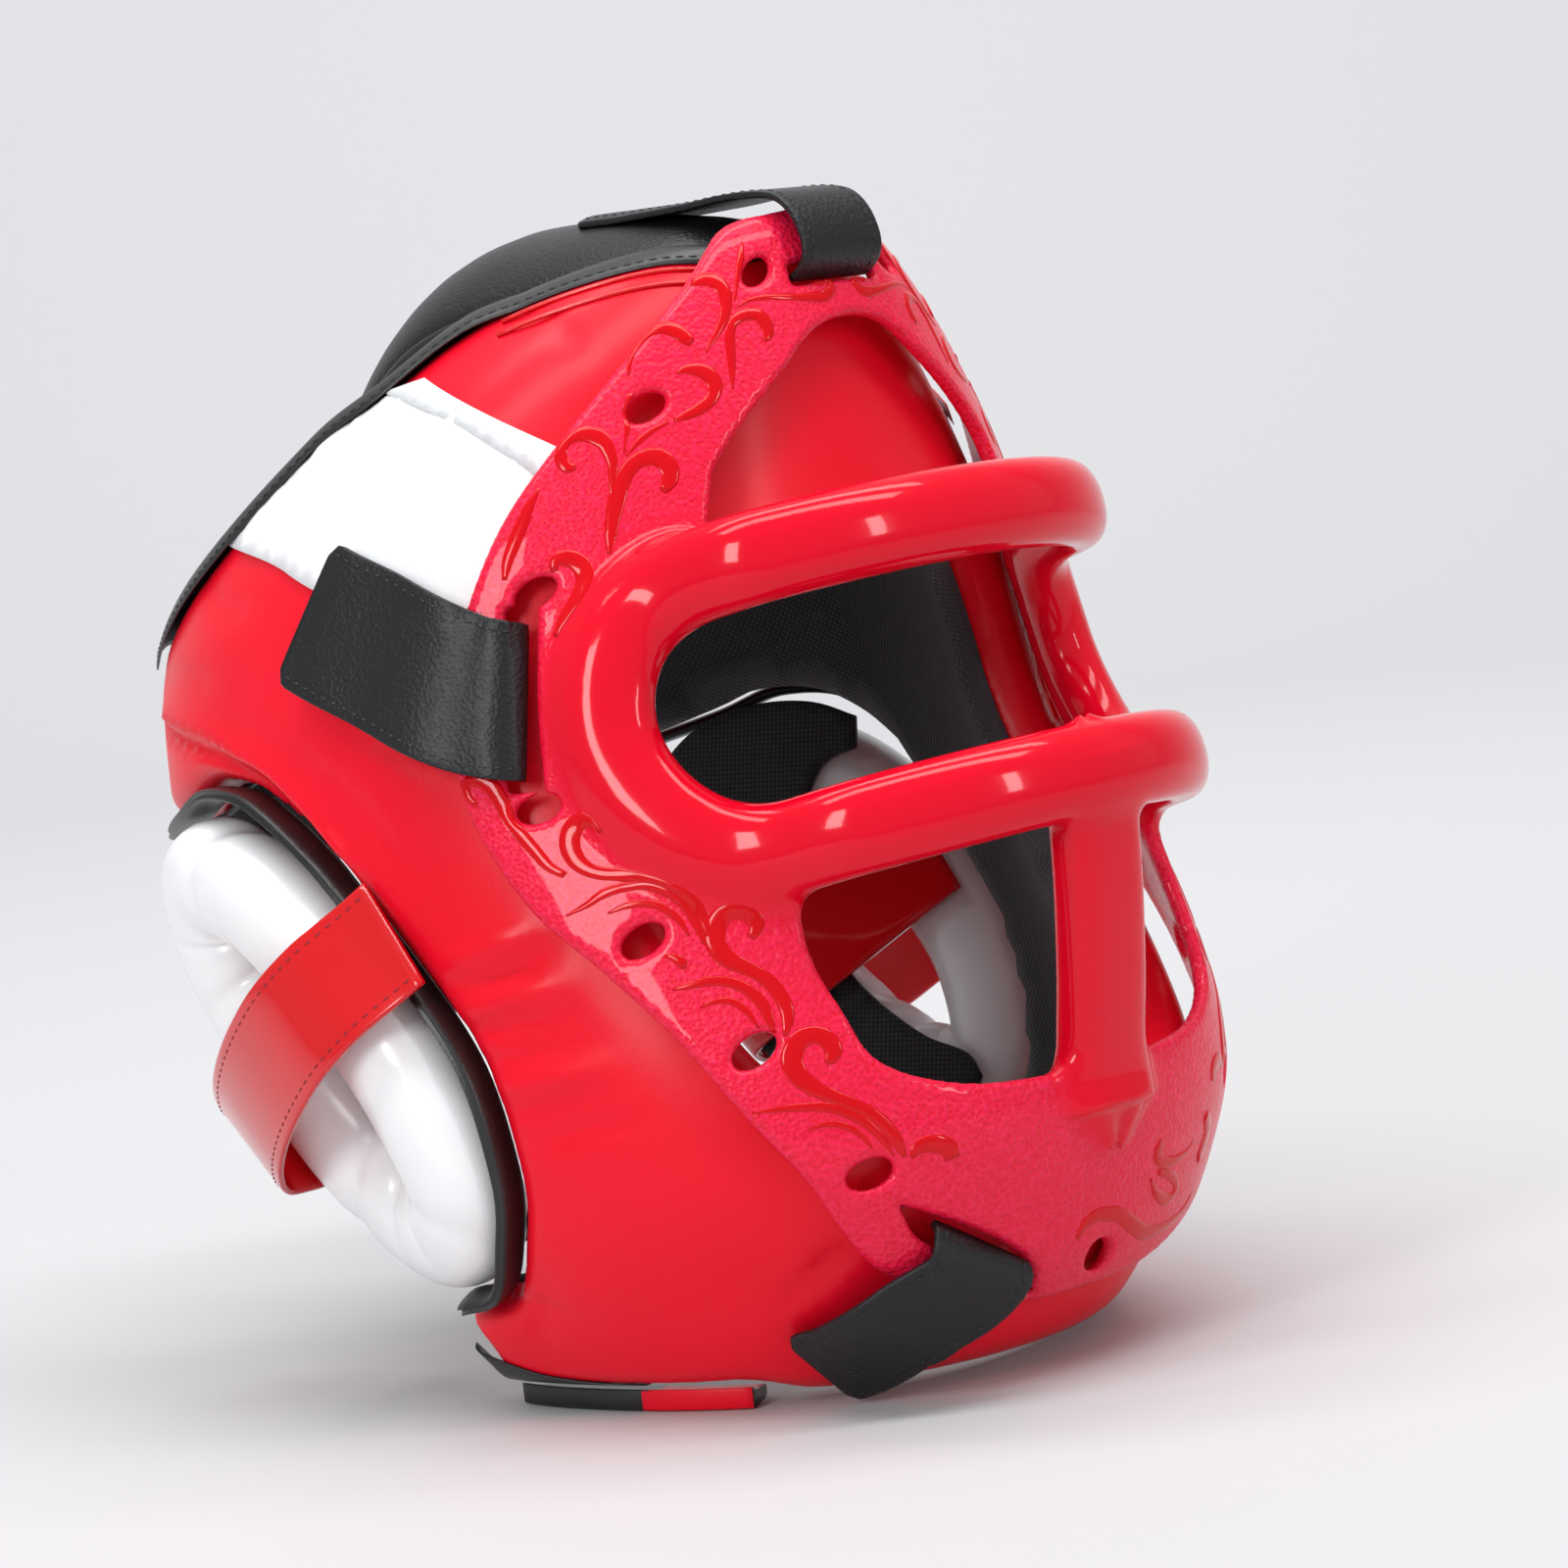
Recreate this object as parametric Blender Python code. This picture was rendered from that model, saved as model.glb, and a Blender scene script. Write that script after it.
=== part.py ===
import bpy
import bmesh
import math
import numpy as np
from mathutils import Vector
from mathutils.geometry import delaunay_2d_cdt

# Sizes in millimetres. Everything is built in the head frame: X to the
# wearer's left, Y to the back, Z up, Y = 0 near the middle of the head.
HEAD_WIDTH = 198.0          # padded shell, widest
HEAD_FRONT = 104.0          # padded shell, from the middle to the front
HEAD_REAR = 119.0           # and to the rear
HEAD_HEIGHT = 270.0         # from the bottom of the table to its top
PAD_THICK = 16.0
LINING_THICK = 1.6
VISOR_THICK = 3.6
FIT_GAP = 0.4               # air between neighbouring pieces
BAR_TALL = 20.0             # eye ring, height of its section
BAR_DEEP = 14.0
EYE_RING_HALF = 30.5        # from the slot's middle to the bar's middle
EYE_MID_Z = 0.1648 * HEAD_HEIGHT
BROW_REACH = 49.0           # how far the brow bar bows out past Y = -75
LOWER_REACH = 62.0
BAR_HALF_WIDTH = 66.0
NOSE_WIDTH = 22.0
NOSE_DEEP = 12.0
HOLE_LONG = 9.5
HOLE_WIDE = 6.0
EAR_LONG = 66.5             # ear ring, outer half length
EAR_WIDE = 38.0
EAR_TUBE = 14.5             # half width of the padded tube
EAR_DEPTH = 12.0            # half depth of the tube
EAR_STRAP_WIDTH = 28.0
TRIM_WIDTH = 3.4
STRAP_THICK = 1.8
TEMPLE_STRAP_WIDTH = 34.0
CHIN_STRAP_WIDTH = 27.0
TOP_STRAP_WIDTH = 24.0
PATCH_THICK = 0.9
BINDING_TALL = 7.0
BINDING_THICK = 1.6
PITCH = 13.0                # degrees the face is turned up, as it rests
FLOOR_DROP = 0.32593 * HEAD_HEIGHT   # from the head frame's origin down to the table
LIP_TALL = 3.5              # black lip under the jaw's rear corners
LIP_WIDE = 13.0

# share of head height, half width, front, rear; then the section's exponent
PAD_TABLE = [
    (-0.407, 0.510, 0.630, 0.252, 2.10),
    (-0.370, 0.625, 0.769, 0.353, 2.12),
    (-0.296, 0.783, 0.942, 0.555, 2.20),
    (-0.185, 0.919, 1.048, 0.807, 2.28),
    (0.000, 0.980, 1.000, 0.941, 2.05),
    (0.185, 1.000, 0.904, 1.000, 1.90),
    (0.333, 0.939, 0.913, 0.983, 1.90),
    (0.444, 0.798, 0.913, 0.874, 1.95),
    (0.537, 0.566, 0.875, 0.655, 2.00),
    (0.600, 0.263, 0.712, 0.370, 2.00)]
VISOR_TABLE = [
    (-0.407, 0.565, 0.693, 0.252, 2.10),
    (-0.370, 0.680, 0.830, 0.353, 2.12),
    (-0.296, 0.842, 1.015, 0.555, 2.20),
    (-0.185, 0.980, 1.125, 0.807, 2.32),
    (0.000, 1.035, 1.154, 0.941, 1.95),
    (0.185, 1.056, 1.058, 1.000, 1.80),
    (0.333, 0.995, 1.029, 0.983, 1.85),
    (0.444, 0.859, 1.010, 0.874, 1.95),
    (0.537, 0.626, 0.990, 0.655, 2.00),
    (0.600, 0.323, 0.885, 0.370, 2.00)]

# Outlines on the surfaces: degrees round from the front, share of head height.
SHELL_EDGE = [
    (0, .556), (14.5, .556), (30, .570), (46, .574), (60, .570), (70, .556), (79.4, .530), (88.8, .513),
    (96.2, .490), (106.6, .460), (118.9, .431), (128, .410), (136, .400), (137, .330), (136, .250),
    (131, .236), (119.3, .241), (110, .247), (99.4, .220), (87.6, .125), (80, .030), (76.3, -.047),
    (77.2, -.136), (80, -.182), (86.5, -.232), (95, -.236), (99.4, -.240), (100, -.268), (104, -.300)]
# the shell's bottom edge lies in the table's plane: degrees round, share of the lip's height
SHELL_BOTTOM = [(104.5, 1), (97, 1), (88, 1), (78, 1), (68, 1), (60, 1), (50, 0), (36, 0), (18, 0), (0, 0)]
SHELL_FACE = [
    (0, .296), (25, .296), (40, .274), (46, .222), (47.5, .148), (47, .037), (44, -.074), (36, -.152),
    (20, -.190), (0, -.196)]
BACK_EDGE = [
    (180, .395), (160, .396), (145, .399), (136.25, .400), (137.25, .330), (136.25, .250), (146, .215),
    (160, .195), (180, .190)]
VISOR_EDGE = [
    (0, .562), (12.8, .560), (18, .560), (23, .552), (28.9, .514), (37.2, .467), (46.5, .415), (53.2, .373),
    (57.7, .334), (61.3, .293), (64.2, .240), (65.8, .181), (65.9, .140), (64.6, .096), (62.3, .051),
    (57.6, .001), (51.6, -.067), (46.8, -.140), (42.8, -.196), (39.6, -.257), (36.9, -.284), (29, -.318),
    (17, -.338), (0, -.343)]
VISOR_WINDOW = [
    (0, .464), (8, .455), (14.8, .425), (21.6, .392), (26.6, .360), (28, .335), (30, .305), (37, .278),
    (44, .236), (46.5, .165), (44, .093), (38, .054), (34.6, .022), (34.6, -.037), (33.2, -.080),
    (30.9, -.126), (22.5, -.158), (11.6, -.170), (0, -.172)]
# degrees round, share of height, turn in degrees
VISOR_HOLES = [
    (16.2, .512, 20), (34.6, .423, 10), (51.5, .302, 15), (57.8, .136, 5), (51.9, .013, 25),
    (43.7, -.093, 30), (35.5, -.208, 10)]
TEMPLE_SLOT = [(51.4, .291), (55.5, .297), (60.7, .155), (56.3, .147)]
CHIN_SLOT = [(33.2, -.236), (14.8, -.308), (12.6, -.338), (31.0, -.269)]
TOP_SLOT = [(0, .512), (10.4, .512), (10.2, .494), (0, .494)]
PATCH_EDGE = [
    (107, .440), (98, .466), (88.4, .492), (78.6, .506), (61.5, .452), (48, .386), (54, .315), (57, .274),
    (70, .318), (82, .358), (94, .404)]
STRIP_EDGE = [(77.4, .509), (69.6, .507), (47.6, .421), (43.4, .404), (47.2, .388), (60.6, .453)]
EAR_MID = (-0.4313 * HEAD_WIDTH, 0.242 * HEAD_REAR, 0.0037 * HEAD_HEIGHT)
EAR_LEAN = 34.0             # long axis back from upright, in the side view
EAR_TURN = 20.0             # its face turned to the back


def clear():
    for obj in list(bpy.data.objects):
        bpy.data.objects.remove(obj, do_unlink=True)
    for mesh in list(bpy.data.meshes):
        bpy.data.meshes.remove(mesh)
    for mat in list(bpy.data.materials):
        bpy.data.materials.remove(mat)


def smooth(xs, ys):
    """Monotone cubic through a table, as slopes for hermite."""
    xs, ys = np.asarray(xs, float), np.asarray(ys, float)
    h, d = np.diff(xs), np.diff(ys) / np.diff(xs)
    m = np.zeros(len(xs))
    m[0], m[-1] = d[0], d[-1]
    for i in range(1, len(xs) - 1):
        if d[i - 1] * d[i] > 0:
            w1, w2 = 2 * h[i] + h[i - 1], h[i] + 2 * h[i - 1]
            m[i] = (w1 + w2) / (w1 / d[i - 1] + w2 / d[i])
    return xs, ys, m


def read(curve, x):
    xs, ys, m = curve
    x = np.clip(np.asarray(x, float), xs[0], xs[-1])
    i = np.clip(np.searchsorted(xs, x) - 1, 0, len(xs) - 2)
    h = xs[i + 1] - xs[i]
    t = (x - xs[i]) / h
    return ((2 * t**3 - 3 * t**2 + 1) * ys[i] + (t**3 - 2 * t**2 + t) * h * m[i]
            + (3 * t**2 - 2 * t**3) * ys[i + 1] + (t**3 - t**2) * h * m[i + 1])


class Surface:
    def __init__(self, table):
        t = np.array(table)
        z = t[:, 0] * HEAD_HEIGHT
        self.cols = [smooth(z, t[:, 1] * HEAD_WIDTH / 2), smooth(z, t[:, 2] * HEAD_FRONT),
                     smooth(z, t[:, 3] * HEAD_REAR), smooth(z, t[:, 4])]

    def at(self, phi, z):
        phi, z = np.broadcast_arrays(np.radians(phi), np.asarray(z, float))
        w, f, r, n = [read(c, z) for c in self.cols]
        c, s = np.cos(phi), np.sin(phi)
        n = np.where(c > 0, n, 2.15)
        k = (np.abs(c)**n + np.abs(s)**n)**(-1 / n)
        return np.stack([-w * s * k, np.where(c > 0, -f * c * k, -r * c * k), z], -1)

    def normal(self, phi, z):
        a = self.at(np.asarray(phi) + 0.5, z) - self.at(np.asarray(phi) - 0.5, z)
        b = self.at(phi, np.asarray(z) + 0.5) - self.at(phi, np.asarray(z) - 0.5)
        n = np.cross(b, a)
        n = n / np.maximum(np.linalg.norm(n, axis=-1, keepdims=True), 1e-9)
        out = self.at(phi, z) * [1, 1, 0]
        return n * np.where((n * out).sum(-1, keepdims=True) < 0, -1, 1)

    def off(self, phi, z, d):
        return self.at(phi, z) + self.normal(phi, z) * np.asarray(d)[..., None]


PAD = Surface(PAD_TABLE)
VISOR = Surface(VISOR_TABLE)
TILT = math.radians(PITCH)
FLAT = 1.62                 # degrees to millimetres in the flat outline


def loop(points, mirror, step):
    """Closed outline in flat millimetres, sampled at about step."""
    p = np.array([(a * FLAT, h * HEAD_HEIGHT) for a, h in points])
    if mirror:
        p = np.concatenate([p, (p * [-1, 1])[::-1]])
        p = p[np.linalg.norm(p - np.roll(p, 1, 0), axis=1) > 0.05]
    q = []
    for a, b in zip(p, np.roll(p, -1, 0)):
        n = max(1, round(np.linalg.norm(b - a) / step))
        q += [a + (b - a) * i / n for i in range(n)]
    return np.array(q)


def table_height(surface, phi, level):
    """Head-frame height at which the surface meets a plane along the table."""
    low, high = -0.407 * HEAD_HEIGHT, -0.2 * HEAD_HEIGHT
    for _ in range(40):
        mid = (low + high) / 2
        p = surface.at(phi, mid)
        if -p[1] * math.sin(TILT) + p[2] * math.cos(TILT) < -level:
            low = mid
        else:
            high = mid
    return low


def inside(points, ring):
    x, y = points[:, 0], points[:, 1]
    hit = np.zeros(len(points), bool)
    for (x1, y1), (x2, y2) in zip(ring, np.roll(ring, -1, 0)):
        cross = (y1 > y) != (y2 > y)
        hit ^= cross & (x < (x2 - x1) * (y - y1) / (y2 - y1 + 1e-12) + x1)
    return hit


def clearance(points, ring):
    best = np.full(len(points), 1e9)
    for a, b in zip(ring, np.roll(ring, -1, 0)):
        d = b - a
        t = np.clip(((points - a) @ d) / max(d @ d, 1e-12), 0, 1)
        best = np.minimum(best, np.linalg.norm(points - a - t[:, None] * d, axis=1))
    return best


def plate(surface, outer, holes, step, low, high, fold=0.0):
    """A closed wall between two offsets of a surface, inside an outline."""
    rings = [outer] + holes
    lo, hi = outer.min(0), outer.max(0)
    nx, ny = int((hi[0] - lo[0]) / step) + 1, int((hi[1] - lo[1]) / step) + 1
    gx = (np.arange(nx + 1) - nx / 2) * step + (lo[0] + hi[0]) / 2
    gy = (np.arange(ny + 1) - ny / 2) * step + (lo[1] + hi[1]) / 2
    g = np.stack(np.meshgrid(gx, gy), -1).reshape(-1, 2)
    ok = inside(g, outer)
    for ring in holes:
        ok &= ~inside(g, ring)
    for ring in rings:
        ok &= clearance(g, ring) > step * 0.45
    pts = np.concatenate(rings + [g[ok]])
    edges, start = [], 0
    for ring in rings:
        n = len(ring)
        edges += [(start + i, start + (i + 1) % n) for i in range(n)]
        start += n
    out = delaunay_2d_cdt([Vector(p) for p in pts], edges, [], 0, 1e-6)
    flat = np.array([tuple(v) for v in out[0]])
    tris = []
    for f in out[2]:
        c = flat[list(f)].mean(0)[None]
        if inside(c, outer)[0] and not any(inside(c, r)[0] for r in holes):
            tris.append(tuple(f))
    used = sorted({i for f in tris for i in f})
    new = {o: k for k, o in enumerate(used)}
    flat = flat[used]
    tris = [tuple(new[i] for i in f) for f in tris]
    n = len(flat)
    top = surface.off(flat[:, 0] / FLAT, flat[:, 1], np.full(n, high))
    bottom = surface.off(flat[:, 0] / FLAT, flat[:, 1], np.full(n, low))
    count = {}
    for f in tris:
        for a, b in ((f[0], f[1]), (f[1], f[2]), (f[2], f[0])):
            count[(a, b)] = count.get((a, b), 0) + 1
    faces = [f for f in tris] + [(f[2] + n, f[1] + n, f[0] + n) for f in tris]
    for a, b in count:
        if (b, a) not in count:
            faces.append((b, a, a + n, b + n))
    return np.concatenate([top, bottom]), faces


def sweep(centres, frames, section, closed=False):
    """Sweep a closed section (n, 2) along centres with side and out axes."""
    rows, k, m = [], len(centres), len(section)
    for c, (side, out) in zip(centres, frames):
        rows.append(c + section[:, :1] * side + section[:, 1:] * out)
    verts = np.concatenate(rows)
    faces = []
    for i in range(k if closed else k - 1):
        j = (i + 1) % k
        for a in range(m):
            b = (a + 1) % m
            faces.append((i * m + a, i * m + b, j * m + b, j * m + a))
    if not closed:
        faces.append(tuple(range(m))[::-1])
        faces.append(tuple((k - 1) * m + a for a in range(m)))
    return verts, faces


def oval(half_a, half_b, n, power=2.0):
    t = (np.arange(n) + 0.5) / n * 2 * math.pi
    c, s = np.cos(t), np.sin(t)
    return np.stack([half_a * np.sign(c) * np.abs(c)**(2 / power), half_b * np.sign(s) * np.abs(s)**(2 / power)], -1)


def unit(v):
    v = np.asarray(v, float)
    return v / np.linalg.norm(v, axis=-1, keepdims=True)


def flip(v):
    return v * [-1, 1, 1]


def build(name, verts, faces, color, rough, mirrored=False):
    if mirrored:
        verts = flip(verts)
    mesh = bpy.data.meshes.new(name)
    mesh.from_pydata([tuple(v) for v in np.asarray(verts, float)], [], [list(f) for f in faces])
    obj = bpy.data.objects.new(name, mesh)
    bpy.context.scene.collection.objects.link(obj)
    bm = bmesh.new()
    bm.from_mesh(mesh)
    bmesh.ops.remove_doubles(bm, verts=bm.verts, dist=1e-4)
    bmesh.ops.recalc_face_normals(bm, faces=bm.faces)
    if bm.calc_volume(signed=True) < 0:
        bmesh.ops.reverse_faces(bm, faces=bm.faces)
    bm.to_mesh(mesh)
    bm.free()
    if color is not None:
        mat = bpy.data.materials.new(name)
        mat.use_nodes = True
        shader = mat.node_tree.nodes['Principled BSDF']
        shader.inputs['Base Color'].default_value = color + (1.0,)
        shader.inputs['Roughness'].default_value = rough
        mesh.materials.append(mat)
    return obj


def join(target, tools, operation):
    for tool in tools:
        mod = target.modifiers.new('cut', 'BOOLEAN')
        mod.operation = operation
        mod.solver = 'EXACT'
        mod.object = tool
    bpy.context.view_layer.update()
    graph = bpy.context.evaluated_depsgraph_get()
    mesh = bpy.data.meshes.new_from_object(target.evaluated_get(graph))
    target.modifiers.clear()
    mats = list(target.data.materials)
    target.data = mesh
    mesh.materials.clear()
    for mat in mats:
        mesh.materials.append(mat)
    for poly in mesh.polygons:
        poly.material_index = 0
    for tool in tools:
        bpy.data.objects.remove(tool, do_unlink=True)
    bm = bmesh.new()
    bm.from_mesh(mesh)
    bmesh.ops.remove_doubles(bm, verts=bm.verts, dist=0.02)
    bmesh.ops.dissolve_degenerate(bm, edges=bm.edges, dist=0.02)
    bmesh.ops.triangulate(bm, faces=[f for f in bm.faces if len(f.verts) > 4])
    bm.to_mesh(mesh)
    bm.free()


RED = (0.80, 0.02, 0.05)
PINK = (0.78, 0.03, 0.10)
BLACK = (0.02, 0.02, 0.022)
WHITE = (0.85, 0.85, 0.86)

clear()

# ---------- padded shell, its lining and the back panel ----------
bottom = [(a, table_height(PAD, a, FLOOR_DROP - LIP_TALL * lip) / HEAD_HEIGHT) for a, lip in SHELL_BOTTOM]
edge = loop(SHELL_EDGE + bottom, True, 11)
face = loop(SHELL_FACE, True, 11)
build('pad_shell', *plate(PAD, edge, [face], 15, -PAD_THICK, 0.0), RED, 0.35)
build('lining', *plate(PAD, edge, [face], 15, -PAD_THICK - FIT_GAP - LINING_THICK, -PAD_THICK - FIT_GAP), BLACK, 0.9)
back = loop(BACK_EDGE + [(360 - a, h) for a, h in BACK_EDGE[::-1][1:-1]], False, 11)
build('back_panel', *plate(PAD, back, [], 16, -PAD_THICK, -1.0), BLACK, 0.6)

# ---------- crown: black padded flap and the binding round the rim ----------
# back, height of its top in the middle and half width, as shares of the head's rear, height and width
FLAP_LINE = [
    (-0.689, 0.5696, 0.0404), (-0.630, 0.5811, 0.0657), (-0.555, 0.5922, 0.1061), (-0.437, 0.6107, 0.1364),
    (-0.286, 0.6293, 0.1616), (-0.118, 0.6422, 0.1717), (0.050, 0.6385, 0.1768), (0.218, 0.6163, 0.1768),
    (0.387, 0.5811, 0.1768), (0.555, 0.5348, 0.1717), (0.706, 0.4811, 0.1566), (0.807, 0.4356, 0.1263),
    (0.840, 0.4133, 0.0758)]
FLAP_THICK = 11.0
FLAP_ARCH = 0.0125          # drop towards its sides, per mm squared


def flap():
    verts, n = [], 16
    pts = np.array(FLAP_LINE, float) * [HEAD_REAR, HEAD_HEIGHT, HEAD_WIDTH]
    for i, (y, z, w) in enumerate(pts):
        a, b = pts[max(i - 1, 0)], pts[min(i + 1, len(pts) - 1)]
        t = unit([b[0] - a[0], b[1] - a[1]])
        up = np.array([0, -t[1], t[0]])
        thick = FLAP_THICK / 2 * (0.55 if i in (0, len(pts) - 1) else 1)
        sec = oval(w, thick, n, 2.6)
        drop = FLAP_ARCH * sec[:, 0]**2
        verts.append(np.array([0, y, z]) - up * FLAP_THICK / 2 + sec[:, :1] * [1, 0, 0] + (sec[:, 1] - drop)[:, None] * up)
    faces = []
    for i in range(len(pts) - 1):
        for k in range(n):
            m = (k + 1) % n
            faces.append((i * n + k, i * n + m, (i + 1) * n + m, (i + 1) * n + k))
    faces.append(tuple(range(n))[::-1])
    faces.append(tuple((len(pts) - 1) * n + k for k in range(n)))
    return np.concatenate(verts), faces


build('crown_flap', *flap(), BLACK, 0.5)

rim = [p for p in SHELL_EDGE if p[1] >= .399 and p[0] <= 136.5]
rim = rim[1:]
rim = [(-a, h) for a, h in rim[::-1]] + [(0, .556)] + rim
rim = np.array(rim)
phi, z = rim[:, 0], rim[:, 1] * HEAD_HEIGHT
centres, frames = [], []
nrm = PAD.normal(phi, z)
pos = PAD.at(phi, z)
for i in range(len(rim)):
    along = unit(pos[min(i + 1, len(rim) - 1)] - pos[max(i - 1, 0)])
    up = unit(np.cross(along, nrm[i]))
    up = up if up[2] > 0 else -up
    centres.append(pos[i] + nrm[i] * (BINDING_THICK / 2 + FIT_GAP + 0.3) - up * (BINDING_TALL / 2 - 4.0))
    frames.append((up, nrm[i]))
bar = np.array([(-1, -1), (1, -1), (1, 1), (-1, 1)]) * [BINDING_TALL / 2, BINDING_THICK / 2]
build('crown_binding', *sweep(centres, frames, bar), BLACK, 0.5)

# ---------- side patches with their pale strips ----------
for side, mirrored in (('right', False), ('left', True)):
    for name, outline in (('side_patch_', PATCH_EDGE), ('patch_strip_', STRIP_EDGE)):
        shape = loop(outline, False, 12)
        build(name + side, *plate(PAD, shape, [], 14, 2 * FIT_GAP, 2 * FIT_GAP + PATCH_THICK), WHITE, 0.4, mirrored)

# ---------- visor: plate, eye ring, nose bar ----------
VISOR_STEP = 10.0


def hole_ring(phi, h, turn, long=HOLE_LONG / 2, wide=HOLE_WIDE / 2, n=8):
    o = oval(long, wide, n)
    t = math.radians(turn)
    o = o @ np.array([[math.cos(t), -math.sin(t)], [math.sin(t), math.cos(t)]])
    return o + [phi * FLAT, h * HEAD_HEIGHT]


outer = loop(VISOR_EDGE, True, VISOR_STEP)
holes = [loop(VISOR_WINDOW, True, VISOR_STEP)]
for p, h, t in VISOR_HOLES:
    holes.append(hole_ring(p, h, t))
    holes.append(hole_ring(-p, h, 180 - t))
holes.append(hole_ring(0, -.320, 0))
ring = loop(TEMPLE_SLOT, False, VISOR_STEP)
holes += [ring, (ring * [-1, 1])[::-1], loop(CHIN_SLOT, False, VISOR_STEP)]   # one chin strap, on the right
holes.append(loop(TOP_SLOT, True, VISOR_STEP))
visor = build('visor', *plate(VISOR, outer, holes, 12, -VISOR_THICK, 0.0), PINK, 0.2)


def bar_point(t, z):
    """t from 0 at the middle to 1 at the ring's near end"""
    a, t = np.sign(t), np.abs(t)
    mix = np.clip((z - (EYE_MID_Z - EYE_RING_HALF)) / (2 * EYE_RING_HALF), 0, 1)
    reach = LOWER_REACH + (BROW_REACH - LOWER_REACH) * mix
    ang = t * math.radians(86)
    free = np.array([-BAR_HALF_WIDTH * math.sin(ang), -75 - reach * math.cos(ang), z])
    on = VISOR.off(46.5 * t, z, -1.0)
    w = np.clip((t - 0.56) / 0.34, 0, 1)
    w = w * w * (3 - 2 * w)
    p = free * (1 - w) + on * w
    return p * [a if a else 1, 1, 1]


half, straight, arc = EYE_RING_HALF, 70.0, 7
path = []
for s in np.linspace(-straight, straight, 13):
    path.append((s, EYE_MID_Z + half))
for k in range(1, arc):
    t = math.pi / 2 - math.pi * k / arc
    path.append((straight + half * math.cos(t), EYE_MID_Z + half * math.sin(t)))
for s in np.linspace(straight, -straight, 13):
    path.append((s, EYE_MID_Z - half))
for k in range(1, arc):
    t = -math.pi / 2 - math.pi * k / arc
    path.append((-straight + half * math.cos(t), EYE_MID_Z + half * math.sin(t)))
reach = straight + half
centres = np.array([bar_point(s / reach, z) for s, z in path])
frames = []
for i in range(len(centres)):
    along = unit(centres[(i + 1) % len(centres)] - centres[i - 1])
    s, z = path[i]
    a = bar_point((s - 1) / reach, z) - bar_point((s + 1) / reach, z)
    out = unit(np.cross(unit(a), [0, 0, 1]))
    out = out if out[1] < 0 else -out
    side = unit(np.cross(along, out))
    frames.append((side, unit(np.cross(side, along))))
ring = build('ring', *sweep(centres, frames, oval(BAR_TALL / 2, BAR_DEEP / 2, 10, 2.6), True), None, 0)
low = VISOR.off(0, -.178 * HEAD_HEIGHT, -1.6)
top = bar_point(0, EYE_MID_Z - half) + [0, 1, 0]
line = [top, top * 0.66 + low * 0.34 + [0, -1, 0], top * 0.33 + low * 0.67 + [0, -1, 0], low, low + [0, .6, -6]]
nose = build('nose', *sweep(line, [(np.array([1.0, 0, 0]), np.array([0, -1.0, -0.3]))] * 5,
                            oval(NOSE_WIDTH / 2, NOSE_DEEP / 2, 8, 3.4)), None, 0)
join(visor, [ring, nose], 'UNION')

# ---------- black lip under the jaw's rear corners ----------
def jaw_lip():
    down = np.array([0, -math.sin(TILT), math.cos(TILT)])
    centres, frames = [], []
    for phi in (103.5, 97, 88, 78, 68, 60):
        z = table_height(PAD, phi, FLOOR_DROP - LIP_TALL)
        p, n = PAD.at(phi, z), PAD.normal(phi, z)
        out = unit(n - down * (n @ down))
        level = (p @ down) + FLOOR_DROP
        centres.append(p - out * (LIP_WIDE / 2 + 0.5) - down * (level - (LIP_TALL - FIT_GAP) / 2))
        frames.append((out, down))
    bar = np.array([(-1, -1), (1, -1), (1, 1), (-1, 1)]) * [LIP_WIDE / 2, (LIP_TALL - FIT_GAP) / 2]
    return sweep(centres, frames, bar)


for side, mirrored in (('right', False), ('left', True)):
    build('jaw_lip_' + side, *jaw_lip(), BLACK, 0.6, mirrored)

# ---------- ears: padded ring, piping, strap ----------
lean, turn = math.radians(EAR_LEAN), math.radians(EAR_TURN)
LONG = np.array([0.0, math.sin(lean), math.cos(lean)])
WIDE = np.array([-math.sin(turn), -math.cos(lean) * math.cos(turn), math.sin(lean) * math.cos(turn)])
OUT = unit(np.cross(LONG, WIDE))
OUT = OUT if OUT[0] < 0 else -OUT
MID = np.array(EAR_MID)


def ear_point(long, wide, out):
    return MID + LONG * long + WIDE * wide + OUT * out


def ear_ring():
    n, centres, frames = 22, [], []
    for i in range(n):
        t = 2 * math.pi * i / n
        a, b = (EAR_LONG - EAR_TUBE) * math.cos(t), (EAR_WIDE - EAR_TUBE) * math.sin(t)
        side = unit(LONG * math.cos(t) / EAR_LONG * EAR_WIDE + WIDE * math.sin(t))
        centres.append(ear_point(a, b, 0))
        frames.append((side, OUT))
    return sweep(centres, frames, oval(EAR_TUBE, EAR_DEPTH, 10, 2.2), True)


class EarPlane:
    """The ring's plane in the outline's flat millimetres."""
    def off(self, a, b, d):
        a, b, d = (np.asarray(v)[..., None] for v in (a, b, d))
        return ear_point(b, a * FLAT, d)


# black cloth behind the ring's top and rear: shares of its half width and half length
BACKING_EDGE = [
    (.86, .41), (1.0, .50), (.84, .68), (.53, .86), (.16, .98), (-.21, 1.0), (-.58, .92), (-.87, .68),
    (-.98, .30), (-1.0, -.15), (-.87, -.53), (-.58, -.78), (-.2, -.90), (.02, -.86), (.05, -.76),
    (-.1, -.57), (-.2, -.23), (-.12, .08), (0, .20), (.18, .33), (.38, .43), (.62, .47)]


def ear_backing():
    edge = loop([(w * EAR_WIDE / FLAT, a * EAR_LONG / HEAD_HEIGHT) for w, a in BACKING_EDGE], False, 12)
    high = -EAR_DEPTH - FIT_GAP
    return plate(EarPlane(), edge, [], 14, high - LINING_THICK, high)


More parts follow.
